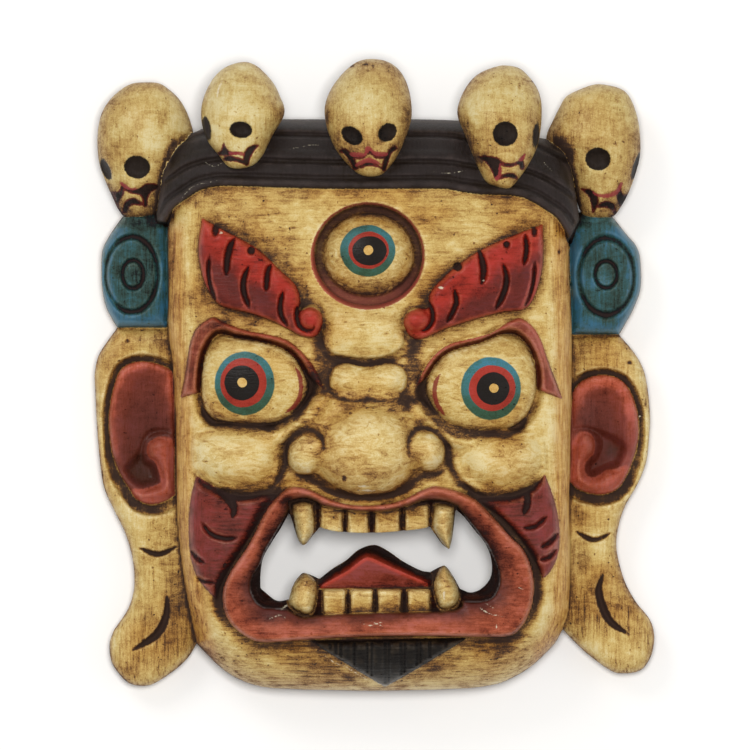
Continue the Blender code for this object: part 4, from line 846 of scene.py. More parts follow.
# painted and cut shapes on the skulls, round their noses and mouths
SKULL_BLACK = [
    [(-186, 128.5), (-181, 129), (-178.5, 131), (-177.5, 134.5), (-176, 131), (-176.5, 127), (-179, 123.5),
     (-180, 119), (-176.5, 111.5), (-179.5, 113), (-182.5, 121)],
    [(-177, 133.5), (-172, 130.8), (-166, 130.8), (-160, 134.5), (-154, 134.5), (-151, 132), (-155, 130),
     (-158.5, 126), (-160, 119), (-162, 119), (-164, 126), (-170, 127.5), (-175, 129.5)],
    [(-177.5, 115), (-175.5, 121.5), (-171, 124.3), (-166.5, 123.5), (-162, 119.5), (-165, 119.3),
     (-170, 119.8), (-173, 117.5), (-175, 114)],
    [(-105.3, 162), (-103.5, 158.5), (-100.5, 155.5), (-94, 154.8), (-99, 153.4), (-106.5, 153.3),
     (-109.7, 154.7), (-106.8, 157)],
    [(-105.7, 150.7), (-102, 152.7), (-97.5, 152.2), (-91.5, 150), (-88.5, 146.5), (-92, 147.3), (-97, 149),
     (-102, 149.3)],
    [(-80.5, 160.4), (-86, 159.5), (-90, 156), (-91.3, 151), (-90.7, 147), (-88.5, 146), (-86.8, 150.5),
     (-84, 156)],
    [(-25, 156), (-22, 157.7), (-18.5, 156.5), (-15, 152), (-12.7, 147), (-12.3, 143.5), (-14.7, 143.3),
     (-17, 149), (-21, 154)],
    [(-15.5, 153), (-9, 152.8), (-5.5, 153.8), (-3.5, 157), (-1, 154.3), (3, 153), (8, 153.3), (7, 151),
     (1.5, 150.6), (-3.5, 153.9), (-8, 150.7), (-14.5, 150.7)],
    [(-12, 144), (-9, 146.9), (-4.5, 148.3), (1, 147.3), (5.5, 143.6), (1.5, 145), (-4, 145.6), (-9, 144.2)],
    [(16, 158), (14.5, 159.5), (10.5, 157.3), (8, 153.5), (5.7, 147), (5.5, 143), (7.5, 142.5), (9.8, 149),
     (12, 154.5)],
    [(72, 152), (76, 152.8), (82, 152.2), (87.3, 150), (87.7, 145), (86.5, 138), (84, 137), (81.5, 142.5),
     (77.5, 148.5)],
    [(87, 149.2), (91, 147.8), (96, 147.7), (101, 150), (104.3, 154), (103.7, 149), (104.5, 144),
     (102, 143.5), (100.5, 147), (95, 145), (89, 146)],
    [(85.5, 136), (88.5, 139.2), (93, 140.8), (98, 140), (100, 136.5), (95.5, 137.8), (91, 137.6)],
    [(145, 131), (150, 130.8), (155, 127.8), (157.2, 123.5), (156, 118.5), (153.5, 114), (152.3, 120),
     (150.5, 126)],
    [(172.5, 133.5), (170.5, 128), (170.5, 124.5), (173.3, 118.5), (176.5, 122.5), (179, 127.7), (175, 126.5),
     (173.8, 129)],
    [(156, 118), (159, 121), (163.5, 122.4), (168, 120.3), (170.3, 115), (169, 113), (166, 117.2),
     (161, 118)],
]
SKULL_RED = [
    [(-179.3, 136.3), (-175, 134.3), (-171, 131.6), (-165, 131.9), (-170, 129.6), (-176.5, 132)],
    [(-101.5, 155.6), (-96, 155.6), (-90.8, 155), (-91.5, 152.6), (-95, 153.2), (-101, 153.8)],
    [(-17, 154.8), (-11, 155), (-7, 154.8), (-6.3, 158.8), (-3.5, 159), (1, 155.4), (9.5, 155), (8, 152.6),
     (1, 152.6), (-3.5, 156), (-6.5, 152.4), (-15.5, 152.2)],
    [(-13.8, 145.5), (-11.5, 148.5), (-7, 150.2), (-3.5, 151.2), (1, 149.6), (6, 145.7), (1, 147),
     (-5, 147.8), (-10.5, 146)],
    [(87.3, 148), (88.7, 143), (88, 138.5), (85, 135.3), (83.5, 137), (86, 140), (86.5, 144)],
    [(105.5, 155), (102.5, 152.5), (99.5, 149.7), (103.5, 149.5)],
    [(151.5, 130.4), (156, 127.9), (161, 127.3), (166, 128.2), (170, 131), (172.5, 135), (175, 135.5),
     (173, 131), (171, 127.5), (167, 125.5), (161, 124.6), (155.5, 126)],
]
# painted shade on the skulls: brown shadows along their sides and lower edges, where they meet the band and
# the ornaments
SKULL_SHADOWS = [
    ([(-151, 114), (-151, 135), (-147, 148), (-143, 160), (-139, 168)], 6),
    ([(-175, 111), (-163, 111), (-153, 114)], 2), ([(-150, 172), (-146, 187)], 3),
    ([(-84, 151), (-77, 162), (-70, 176), (-64, 184)], 4), ([(-37, 178), (-33, 182)], 5),
    ([(-27, 160), (-31, 172)], 2), ([(24, 184), (22, 172), (17, 160)], 3),
    ([(72, 148), (66, 164), (60, 181)], 5), ([(78, 156), (74, 150)], 2),
    ([(145, 116), (142, 140), (138, 156), (139, 170)], 6), ([(124, 166), (135, 165)], 4),
    ([(148, 111), (160, 110.5), (172, 112)], 2),
]
# painted shade: soft brown shadows on the face, round its brows, scrolls, pill, eyes, lips and beard
FACE_SHADOWS = [
    ([(-48, 66), (-47, 56), (-50.5, 47)], 7), ([(-39, 44), (-34, 35), (-35, 26), (-40, 17)], 5),
    ([(21, 42), (17.5, 34), (19, 26)], 5), ([(34.5, 58), (35, 52), (34, 46)], 4),
    ([(-114, 108), (-96, 101), (-80, 92)], 5), ([(-73, 86), (-62, 79), (-54, 71)], 5),
    ([(60, 80), (80, 91), (100, 102)], 2), ([(10, -19), (17, -19), (24, -22)], 5),
    ([(8, -18), (16, -28), (23, -38)], 1), ([(-38, -22), (-43, -32)], 2), ([(14, 60), (25, 66)], 3),
    ([(-120, -30), (-112, -34), (-100, -36)], 4), ([(-130, 126), (-118, 119), (-100, 124)], 2),
    ([(-106, -140), (-110, -158), (-108, -172)], 3), ([(-104, -182), (-96, -190), (-84, -193)], 1.5),
    ([(70, -190), (90, -190), (102, -185)], 3), ([(-46, -185), (-20, -210), (4, -221)], 3),
    ([(-34, 13), (-37, 18), (-39, 25)], 6), ([(22, 13), (26, 17), (27, 25)], 6),
    ([(12, -221), (40, -208), (64, -190)], 2),
]
# painted shade: soft dark corners, and a few places lightened where the value is below 0: middle, radii, how
# dark
SHADED_CORNERS = [
    ((-37, 16), (6, 10), 0.42), ((28, 12), (5.5, 16), 0.42), ((-36, -2), (3.5, 10), 0.35),
    ((24, -19), (7, 4), 0.3), ((22, -26), (4, 5), 0.2), ((-62, -84), (10, 6), 0.3), ((56, -82), (12, 6), 0.3),
    ((-118, -88), (5, 4), 0.2), ((-93, -83), (24, 4), 0.15), ((94, -84), (20, 4), 0.15),
    ((-8, -84), (34, 5), 0.15), ((3, -62), (14, 10), 0.08),
    ((-25, -48), (8, 14), -0.12), ((16, -48), (7, 14), -0.12), ((148, -118), (14, 26), -0.22),
    ((-34, -28), (10, 8), -0.15), ((20, -31), (8, 6), -0.12),
]
# small chips and specks, and fine scratches where pale wood shows: middle, radii
DARK_CHIPS = [
    ((-21, -71.5), (1.6, 2.2)), ((-174, 24), (1.6, 1.2)), ((180, 9), (1.8, 1.3)), ((129, 86), (1, 1.6)),
    ((191, -20), (1, 3)), ((-57, 103), (2.4, 0.8)), ((-74, 112), (0.8, 1)), ((-118, -60), (2, 0.8)),
    ((-111, -64), (1.6, 0.8)), ((8, 29), (1.5, 0.7)), ((-8, 35), (1.6, 0.6)), ((-20, 37), (1.6, 0.6)),
]
PALE_CHIPS = [
    ((-107, 99.3), (1.4, 1.1)), ((46, 61), (2, 1.2)), ((48.5, -153), (1, 3.4)), ((187, -29), (0.9, 0.9)),
    ((-8, -77), (4, 0.8)), ((-5, -80), (6, 0.8)), ((85, -175), (0.7, 1.6)), ((76, 66), (1, 0.8)),
]
PALE_LINES = [
    ([(-10, -172), (-3, -174), (4, -172), (8, -174)], 0.7), ([(-2, -171), (6, -175)], 0.6),
    ([(-74, -170), (-66, -167), (-62, -169)], 0.8), ([(72, -161), (80, -166), (90, -168)], 0.8),
    ([(76, -158), (84, -163)], 0.6), ([(-60, -160), (-66, -164)], 1.2), ([(100, -148), (104, -149)], 0.8),
    ([(-37, -194), (-27, -201), (-20, -203.5), (-7, -212), (0, -215.5)], 0.8),
    ([(1, -215.5), (8, -217), (14, -214.5)], 0.8), ([(-120, 150), (-112, 146), (-104, 150)], 0.5),
    ([(-60, 158), (-44, 161), (-36, 160)], 0.5), ([(40, 142), (52, 141), (64, 143)], 0.5),
    ([(118, 150), (124, 143)], 0.5), ([(-138, 118), (-128, 131), (-110, 136)], 0.5),
]
# the same on the skulls
SKULL_CHIPS = [
    ((-6, 217), (2, 1)), ((-1, 216), (1, 1.4)), ((-5, 212.5), (1.4, 0.8)), ((-16, 216), (1.4, 0.8)),
    ((-184, 180), (1.4, 1)), ((-181, 175), (1, 1.2)), ((101, 201), (0.8, 2.4)), ((93, 185), (1.2, 1)),
    ((96, 189), (0.7, 0.7)), ((110, 206), (3, 0.7)), ((-104, 205), (0.8, 1)), ((20, 192), (0.7, 0.7)),
]
SKULL_SCRATCHES = [([(-106, 206), (-109, 199), (-110, 193)], 1.6), ([(103, 198), (103.5, 195)], 1.4)]
BEARD_LINES = (-31, -27, -23.5, -14, -5, -2, 7.5, 10, 18.5, 21, 29.5, 32, 38.5, 50)
EYE_ARCS = [
    ([(-55.5, 6.5), (-52.3, 0), (-51.2, -8), (-52.5, -16), (-56.5, -22), (-62.5, -26.5)], 3.4),
    ([(46, 1), (43, -4), (41.8, -11), (43, -18.5), (46, -24), (49.5, -28.5)], 3.5),
]


def highest(parts):
    """The highest of several fields: inside any of them."""
    return np.maximum.reduce(list(parts))


def strokes(sheet, table, taper=0.2):
    """The field of all the lines in a table."""
    return highest(sheet.stroke(points, width, taper) for points, width in table)


def spots(sheet, table):
    """The field of all the round spots in a table."""
    return highest(sheet.ellipse(*spot) for spot in table)


def brow_height(sheet):
    """How far above the line from a scroll to the temple a place in a brow is."""
    return sheet.y - 0.7 * (abs(sheet.x + 2) - 48)


def fine_carving(sheet, s, front):
    """The comb lines of the beard, the swell of the brows and the chips, too fine for the solid."""
    inside = rise(s["beard"] - 2, 1)
    for line in BEARD_LINES:
        front = front - DEPTHS["comb"] * inside * (1 - rise(abs(sheet.x - line), 1.5))
    lobes = np.minimum(s["brow"], -strokes(sheet, BROW_GROOVES, 0.4))
    front = front + 2.4 * swell(lobes, 7) * rise(brow_height(sheet) - 34, 14)
    return front - DEPTHS["chip"] * rise(spots(sheet, DARK_CHIPS + PALE_CHIPS) + 0.8, 1.2)


def wash_and_painted_shade(sheet, s, inner_ear, dome, across_lip):
    """How much brown wash and painted shade lie on each place: little on the cheeks, more on forehead, chin,
    edges and ears, with painted shade in corners, round the lips and pill, on the third eye's lower part and
    on the eyeballs' rims.
    """
    x, y = sheet.x, sheet.y
    lip = np.minimum(s["lip_outer"], -s["lip_inner"])
    outside = -inner_ear
    ears = 0.47 + (0.08 + 0.05 * (x < 0)) * rise(-100 - y, 60) - 0.04 * (1 - rise(s["ear"], 9))
    ears += 0.2 * (1 - rise(-s["face"] - 1, 3))
    ears += 0.55 * rise(outside + 0.5, 1) * (1 - rise(outside - gutter_width(sheet) + 3.5, 5))
    ears = sheet.laid(inner_ear, ears, 0.15 + 0.1 * (x < 0))
    blocks = 0.1 + 0.35 * rise(s["ornament"] - 6, 6) + 0.5 * rise(y - 101, 6)
    ears = sheet.laid(s["ornament"], ears, blocks)

    # painted shade: the third eye's dome is darker on its lower part
    face = 0.33 + 0.35 * rise(76 - y, 20) * (dome > 0) + 0.12 * rise(y - 30, 25)
    face += 0.26 * rise(-172 - y, 25) + 0.07 * rise(-165 - y, 12) + 0.14 * (1 - rise(-s["band"], 8))
    face += (0.3 - 0.22 * (x > 0)) * (1 - rise(s["face"] + 1, 11)) * rise(abs(x) - 105, 15)
    # painted shade: each eyeball darkens towards its rim, as under its lids
    face += 0.12 * (1 - rise(s["eyeball"], 9)) * (s["eyeball"] > 0) + 0.2 * (s["left_lid"] > 0)
    face += 0.18 * rise(abs(x) - 62, 25) * rise(lip + 1, 1)
    tone = sheet.laid(s["band"], sheet.laid(s["face"], ears, face), 0.1)

    # round the lips: painted shade beside them along their sides and on the inner part of the lip there, and
    # paler just outside them, most above their middle
    beside = s["lip_outer"] < 0
    corners = rise(abs(x) - 48, 32) * rise(-80 - y, 8) * rise(y + 188, 30)
    tone += 0.45 * beside * rise(s["lip_outer"] + 9, 5) * corners
    above = (y > -100) * (abs(x) < 66)
    tone -= (0.25 + 0.15 * above) * beside * rise(s["lip_outer"] + 2 + 2 * above, 1.5)
    tone += 0.5 * rise(across_lip - 0.3, 0.6) * rise(lip, 1) * rise(abs(x) - 56, 10) * rise(y + 150, 20)
    teeth = 0.5 + 0.2 * rise(y + 98, 8) + 0.1 * rise(y + 154, 4) * (y < -130)
    tone = sheet.laid(s["lip_inner"], tone, teeth)
    tone = sheet.laid(np.minimum(s["tongue"], s["tongue_face"]), tone, 0.15)
    # painted shade in the shaded corners
    for middle, radii, dark in SHADED_CORNERS:
        tone = tone + dark * rise(sheet.ellipse(middle, radii) + 2.5, 5)
    # painted shade: a soft dark ring round the edge of the pill
    shade_round_pill = 0.35 * (1 - rise(abs(s["pill"] + 0.6) - 0.5, 1.6))
    return tone + shade_round_pill + 0.08 * rise(s["nose"], 10)


def paint_fields(sheet, s, front):
    """Fields that the paint reads: distances inside each painted shape, and how deep each place lies."""
    x, y = sheet.x, sheet.y
    teeth = np.maximum(s["incisors"], s["fangs"])
    inner_ear = np.maximum(s["concha"], s["tragus"])
    ring = sheet.ellipse((-4.5, 83.5), (39.4, 37))
    dome = sheet.ellipse((-4, 84.3), (31.8, 28.8))
    red_width = 0.9 + 0.7 * rise(90 - 0.4 * x - y, 40)
    ring_lines = [0.4 * half - abs(sheet.ellipse(*oval)) for *oval, half in RING_GROOVES]
    cuts = strokes(sheet, BROW_GROOVES + SIDEBURN_GROOVES + LOBE_GROOVES, 0.4)
    creases = strokes(sheet, [crease[:2] for crease in CREASES], 0.12)
    across_lip = np.clip(s["lip_outer"] / np.maximum(s["lip_outer"] - s["lip_inner"], 1), 0, 1)
    scroll = rise(13 - np.hypot(abs(x + 7) - 38, y - 38), 6)
    near_edge = (1 - rise(s["face"] - 8, 8)) * (s["face"] > -0.5)

    # how much brown wash and painted shade lie in the hollows: less on the ears next to the face and in the
    # inner ears, on the eyeballs and lids, and where the pill meets the nose
    beside_face = rise(-s["face"] - 4, 14) * (1 - 0.85 * rise(inner_ear + 2, 2))
    hollow_wash_and_shade = sheet.laid(s["face"], beside_face, 1)
    hollow_wash_and_shade = hollow_wash_and_shade * (1 - 0.75 * rise(np.maximum(s["eyeball"], s["lid"]) + 1, 2))
    hollow_wash_and_shade = hollow_wash_and_shade * (1 - 0.6 * rise(sheet.ellipse((-5, -16), (24, 9)), 4))

    # how far its brush strokes show: hardly on the round forms and in the corners of painted shade
    forms = highest([s[name] for name in ("nose", "pill", "left_cheek", "right_cheek", "eyeball")] + [dome])
    corners = highest(rise(sheet.ellipse(*corner[:2]) + 2.5, 5) for corner in SHADED_CORNERS)
    brushed = sheet.laid(s["face"], 1, (1 - 0.85 * rise(forms + 6, 12)) * (1 - 0.7 * corners))
    brushed = brushed * (1 - 0.6 * rise(s["lip_outer"] + 1, 2)) * (1 + 0.5 * rise(-158 - y, 15))
    as_carved = ("brow", "lid", "eyeball", "sideburn", "beard", "tragus", "tongue_face")
    return {
        **{name: s[name] for name in as_carved},
        "brow_up": (brow_height(sheet) - 40) / 20 + 1.4 * scroll,
        "lip": np.minimum(s["lip_outer"], -s["lip_inner"]),
        "lip_across": across_lip,
        "pink": inner_ear,
        "blue": s["ornament"],
        "black": s["band"] + 1.5 * (s["face"] < 0) + 4 * (1 - rise(outline(s), 4)) * (s["band"] > -3),
        "gum": np.minimum.reduce([s["lip_inner"] + 0.8, -teeth - 1, -s["tongue"] - 0.8]),
        "tongue": np.minimum(s["tongue"], -teeth),
        "ring": np.minimum(ring - 1.2, -dome),
        "red_line": np.maximum(strokes(sheet, EYE_ARCS), red_width - abs(ring - 0.6)),
        "crease": np.maximum(creases, strokes(sheet, FACE_SHADOWS, 0.05) - 3.5),
        "cut": highest([cuts, spots(sheet, BROW_NOTCHES), spots(sheet, DARK_CHIPS)] + ring_lines),
        "pale": np.maximum(spots(sheet, PALE_CHIPS), strokes(sheet, PALE_LINES)),
        "tone": wash_and_painted_shade(sheet, s, inner_ear, dome, across_lip),
        "brushed": brushed,
        "strip": near_edge * rise(abs(x) - 107, 8) * rise(112 - y, 12),
        "pit": s["pit"] - 6 * (x > 0),
        "basin": np.minimum(inner_ear, -s["face"] - 1 + 5 * rise(-22 - y, 12)) - 4 * (x > 0),
        "mouth": np.full(x.shape, -10.0),
        "hollow_fine": sheet.blurred(front, 1.5) - front,
        "hollow": hollow_wash_and_shade * (sheet.blurred(front, 4) - front),
        "hollow_wide": hollow_wash_and_shade * (sheet.blurred(front, 11) - front),
    }


def skull_paint_fields(sheet):
    """The same for the skulls, painted from the front."""
    eyes = spots(sheet, SKULL_EYES)
    black, red = (highest(sheet.shape(points, 10) for points in table) for table in (SKULL_BLACK, SKULL_RED))
    outer = abs(sheet.x) > 125
    return {
        "black": eyes,
        "mouth": black + 0.3,
        "red_line": red + 0.2,
        "crease": strokes(sheet, SKULL_SHADOWS, 0.05) - 2.5,
        "cut": spots(sheet, SKULL_CHIPS),
        "pale": strokes(sheet, SKULL_SCRATCHES),
        # painted shade: the outer skulls are darker on their lower jaws and where they meet the band; there is
        # more brown round their marks and eyes
        "tone": 0.34 + 0.2 * rise(140 - sheet.y, 25) * outer + 0.2 * rise(np.maximum(black, red) + 4, 5)
        + 0.5 * rise(sheet.shape(BRIM + CROWN, 40) + 4, 4) * outer + 0.1 * rise(eyes + 12, 12),
        "brushed": np.full(sheet.x.shape, 0.4),
    }


# fields whose edges are painted lines, and the others that the paint reads
EDGE_FIELDS = (
    "brow", "lip", "lid", "eyeball", "sideburn", "beard", "pink", "tragus", "blue", "black", "gum", "tongue",
    "tongue_face", "ring", "red_line",
)
OTHER_FIELDS = (
    "brow_up", "lip_across", "strip", "basin", "pit", "mouth", "crease", "cut", "pale", "tone", "brushed",
    "hollow_fine", "hollow", "hollow_wide", "under", "bone",
)


def placed(name, data, place=(0, 0, 0)):
    """An object in the scene."""
    item = bpy.data.objects.new(name, data)
    item.location = place
    bpy.context.scene.collection.objects.link(item)
    return item


def mesh_object(name, points, faces, material):
    """A smooth mesh in one material, from points in millimetres."""
    mesh = bpy.data.meshes.new(name)
    mesh.from_pydata((points * MM).tolist(), [], faces.tolist())
    mesh.materials.append(material)
    mesh.shade_smooth()
    return placed(name, mesh)


def hollow_back(sheet, s, front):
    """The height of the bowl cut into the back, 0 on the flat rim round it."""
    below_band = 148 - sheet.y
    bowl = domed(sheet, FACE_LEVEL - WALL, 12, 6) * swell(np.minimum(s["face"], below_band) - RIM, 45)
    roof = np.minimum(sheet.blurred(front, 5) - THINNEST, front - 9)
    return np.clip(bowl, 0, roof)


def every(items, name, kind=np.float32, width=1):
    """One value of each vertex, corner or face of a mesh."""
    values = np.empty(len(items) * width, kind)
    items.foreach_get(name, values)
    return values if width == 1 else values.reshape(-1, width)


def made_plain(item):
    """The object with its modifiers applied, as a plain mesh."""
    graph = bpy.context.evaluated_depsgraph_get()
    mesh = bpy.data.meshes.new_from_object(item.evaluated_get(graph))
    item.modifiers.clear()
    item.data = mesh


def thinned(item, triangles, keep):
    """Fewer triangles, with most of them left where keep is near 1."""
    thin = item.modifiers.new("fewer_faces", "DECIMATE")
    thin.ratio = triangles / len(item.data.polygons)
    group = item.vertex_groups.new(name="keep")
    level = np.clip((keep * KEEP_STEPS).astype(int), 0, KEEP_STEPS - 1)
    for step in range(KEEP_STEPS):
        group.add(np.flatnonzero(level == step).tolist(), step / KEEP_STEPS, "REPLACE")
    thin.vertex_group = "keep"
    thin.invert_vertex_group = True
    # so light that the shape's own error still has its say
    thin.vertex_group_factor = 1e-5
    made_plain(item)


def carved_front(sheet, s, front, paint_of, paint):
    """The mask without its skulls, with the finest triangles along painted lines and cuts."""
    points, faces = carved_block(sheet, outline(s), front, hollow_back(sheet, s, front))
    mask = mesh_object("mask_carving", points - (*MIDDLE, 0), faces, paint)
    x, y, z = points.T
    lines = np.minimum.reduce([abs(paint_of[name]) for name in EDGE_FIELDS])
    cuts = -np.maximum.reduce([paint_of[name] for name in ("crease", "cut", "pale")])
    on_front = np.clip(1 - (sheet.read(front, x, y) - z) / 4, 0, 1)
    keep = on_front * (1 - 0.7 * rise(sheet.read(np.minimum(lines, cuts), x, y) - 1, 2))
    keep = np.maximum(keep, 0.6 * (sheet.read(outline(s), x, y) < 0.6))
    thinned(mask, RELIEF_TRIANGLES, keep)
    return mask


def row_of_skulls(sheet, paint_of):
    """The five skulls as one mesh, with their eyes, mouths and chips cut in."""
    all_points, all_faces, count = [], [], 0
    for shape, middle_at_top, middle_at_bottom in SKULLS:
        points, faces = skull(shape, middle_at_top, middle_at_bottom, SKULL_RINGS)
        x, y, z = points.T
        on_front = rise(z - middle_at_bottom, 8)
        for names, depth, width in ((("black", "mouth"), 1.2, 1.8), (("cut", "pale"), DEPTHS["chip"], 1.2)):
            marks = np.maximum(*(sheet.read(paint_of[name], x, y) for name in names))
            points[:, 2] -= depth * on_front * rise(marks + 0.8, width)
        all_points.append(points)
        all_faces.append(faces + count)
        count += len(points)
    points = np.concatenate(all_points)
    marker = bpy.data.materials.new("skull_marker")
    skulls = mesh_object("skulls", points - (*MIDDLE, 0), np.concatenate(all_faces), marker)
    marks = np.maximum.reduce([paint_of[name] for name in ("black", "mouth", "cut", "pale")])
    keep = np.clip(sheet.read(marks + 3, *points.T[:2]) / 2, 0.25, 1) * (points[:, 2] > 40)
    thinned(skulls, SKULL_TRIANGLES, keep)
    return skulls


def joined(mask, skulls):
    """The two cut into one closed solid; says which of its vertices lie on a skull."""
    union = mask.modifiers.new("join_skulls", "BOOLEAN")
    union.operation = "UNION"
    union.solver = "MANIFOLD"
    union.material_mode = "TRANSFER"
    union.object = skulls
    made_plain(mask)
    bpy.data.objects.remove(skulls)

    mesh = mask.data
    marked = every(mesh.polygons, "material_index", np.int32) > 0
    corners = every(mesh.loops, "vertex_index", np.int32)
    on_skull = np.ones(len(mesh.vertices), bool)
    on_skull[corners[~np.repeat(marked, every(mesh.polygons, "loop_total", np.int32))]] = False
    mesh.polygons.foreach_set("material_index", np.zeros(len(marked), np.int32))
    while len(mesh.materials) > 1:
        mesh.materials.pop()
    return on_skull


def carved_mask(paint):
    """The whole carved mask as one closed mesh, with the fields that its paint reads stored on it."""
    sheet = Sheet(GRID_STEP)
    s = fields(sheet)
    front = fine_carving(sheet, s, relief(sheet, s))
    paint_of, skull_paint = paint_fields(sheet, s, front), skull_paint_fields(sheet)
    mask = carved_front(sheet, s, front, paint_of, paint)
    on_skull = joined(mask, row_of_skulls(sheet, skull_paint))

    mesh = mask.data
    x, y, z = (every(mesh.vertices, "co", width=3) / MM + (*MIDDLE, 0)).T
    facing = every(mesh.vertex_normals, "vector", width=3)[:, 2]
    # on the skulls the broad hollow field is painted shade and highlight: darker where the surface turns away
    # from straight up, paler on their tops
    no_marks = {"strip": 0, "crease": -12, "cut": -12, "pale": -12, "hollow_wide": 7 * (0.7 - facing)}
    stored = {"under": np.where(on_skull, 0, sheet.read(front, x, y) - z), "bone": on_skull}
    for name, field in paint_of.items():
        bone = no_marks.get(name, 0 if "hollow" in name else -10)
        if name in skull_paint:
            bone = sheet.read(skull_paint[name], x, y)
        stored[name] = np.where(on_skull, bone, sheet.read(field, x, y))
    for name, values in stored.items():
        values = np.asarray(values, np.float32)
        mesh.attributes.new(name, "FLOAT", "POINT").data.foreach_set("value", values)
    return mask


def linear(hex_colour):
    """An sRGB hex colour as the linear RGBA that a shader takes."""
    values = [int(hex_colour[i:i + 2], 16) / 255 for i in (0, 2, 4)]
    return tuple(v / 12.92 if v <= 0.04045 else ((v + 0.055) / 1.055) ** 2.4 for v in values) + (1,)


# what the second word in a node's name chooses
CHOICES = {
    "Math": "operation", "VectorMath": "operation", "MapRange": "interpolation_type", "Mix": "data_type",
    "Mapping": "vector_type", "Attribute": "attribute_name",
}
# the names that come often
SUM, PRODUCT, LARGER, LINE = ("Math " + name for name in ("ADD", "MULTIPLY", "MAXIMUM", "MULTIPLY_ADD"))
EASED, COAT = "MapRange SMOOTHSTEP", "Mix RGBA"


def add_node(tree, name, *values):
    """A node, its open inputs filled in order: a link, a number, a hex colour, or None for its own value."""
    kind, _, choice = name.partition(" ")
    node = tree.nodes.new("ShaderNode" + kind)
    if choice:
        setattr(node, CHOICES[kind], choice)
    for socket, value in zip([socket for socket in node.inputs if socket.enabled], values):
        if isinstance(value, bpy.types.NodeSocket):
            tree.links.new(value, socket)
        elif value is not None:
            socket.default_value = linear(value) if isinstance(value, str) else value
    return next(socket for socket in node.outputs if socket.enabled)


# --- the paint
# blue, red and black rounds and the pale spot of the third, left and right eye: middle and radii
IRISES = (
    (((-4.7, 86.7), (19.2, 18)), ((-4, 87), (14, 13)), ((-3.5, 86.5), (12, 10.3)), ((-4.3, 87), (3.3, 3.3))),
    (((-90.4, -5.7), (21, 22.2)), ((-91.2, -5.2), (16.2, 17.2)), ((-92.3, -5.3), (12.2, 12.2)),
     ((-92, -5), (3.3, 3.3))),
    (((81, -9.2), (21, 21.8)), ((82, -9), (16.2, 15.8)), ((82.5, -9.3), (11.5, 11.3)),
     ((83, -9), (3.3, 3.3))),
)
# what the brown wash and painted shade leave of the paint's colour, from bare paint to a filled groove
WASH_AND_SHADE = ((0, "F4F2EE"), (0.25, "E6D8B4"), (0.5, "C8AE84"), (0.7, "9A7A5A"), (0.86, "68504A"), (1, "544549"))

# patterns of the finish: how many millimetres apart their spots are, detail, roughness, stretch, shift,
# turn and swirl. Bristle strokes, grit and wood pores are 0.2 to 0.5 mm apart, too fine to show, so they
# are drawn about four times as coarse.
EVEN = (1, 1, 1)
PATTERNS = {
    "mottle": (10.526, 4, 0.65, EVEN, 0, 0, 0),  # uneven drying, as wide as a fingertip
    "patches": (20.833, 4, 0.62, EVEN, 0.3, 0, 0),  # dabs of wash
    "cloud": (50, 2, 0.5, EVEN, 0, 0, 0),  # cream that turns to ochre over a hand's width
    "across": (1.6129, 3, 0.7, (0.08, 1, 0.4), 0, 0, 0),  # bristle strokes from side to side
    "along": (1.6129, 3, 0.7, (1, 0.08, 0.4), 0, 0, 0),  # bristle strokes up and down
    "pores": (1.1111, 1, 0.6, (1, 0.3, 1), 0, 0, 0),  # wood pores under the paint
    "edge": (1.6667, 2, 0.6, EVEN, 0, 0, 0),  # the wander of a hand-painted edge
    "grit": (0.90909, 2, 0.7, EVEN, 0.4, 0, 0),  # pigment that stayed in the grain
    "rag": (5.2632, 4, 0.7, (0.35, 1, 0.6), 0, 0.9, 1.4),  # swirls of the rag that rubbed the wash
    "specks": (3.0303, 1, 0.5, EVEN, 0.7, 0, 0),  # small dark spots
}


def new_material(name):
    """A material and its Principled shader."""
    material = bpy.data.materials.new(name)
    material.use_nodes = True
    return material, material.node_tree.nodes["Principled BSDF"]


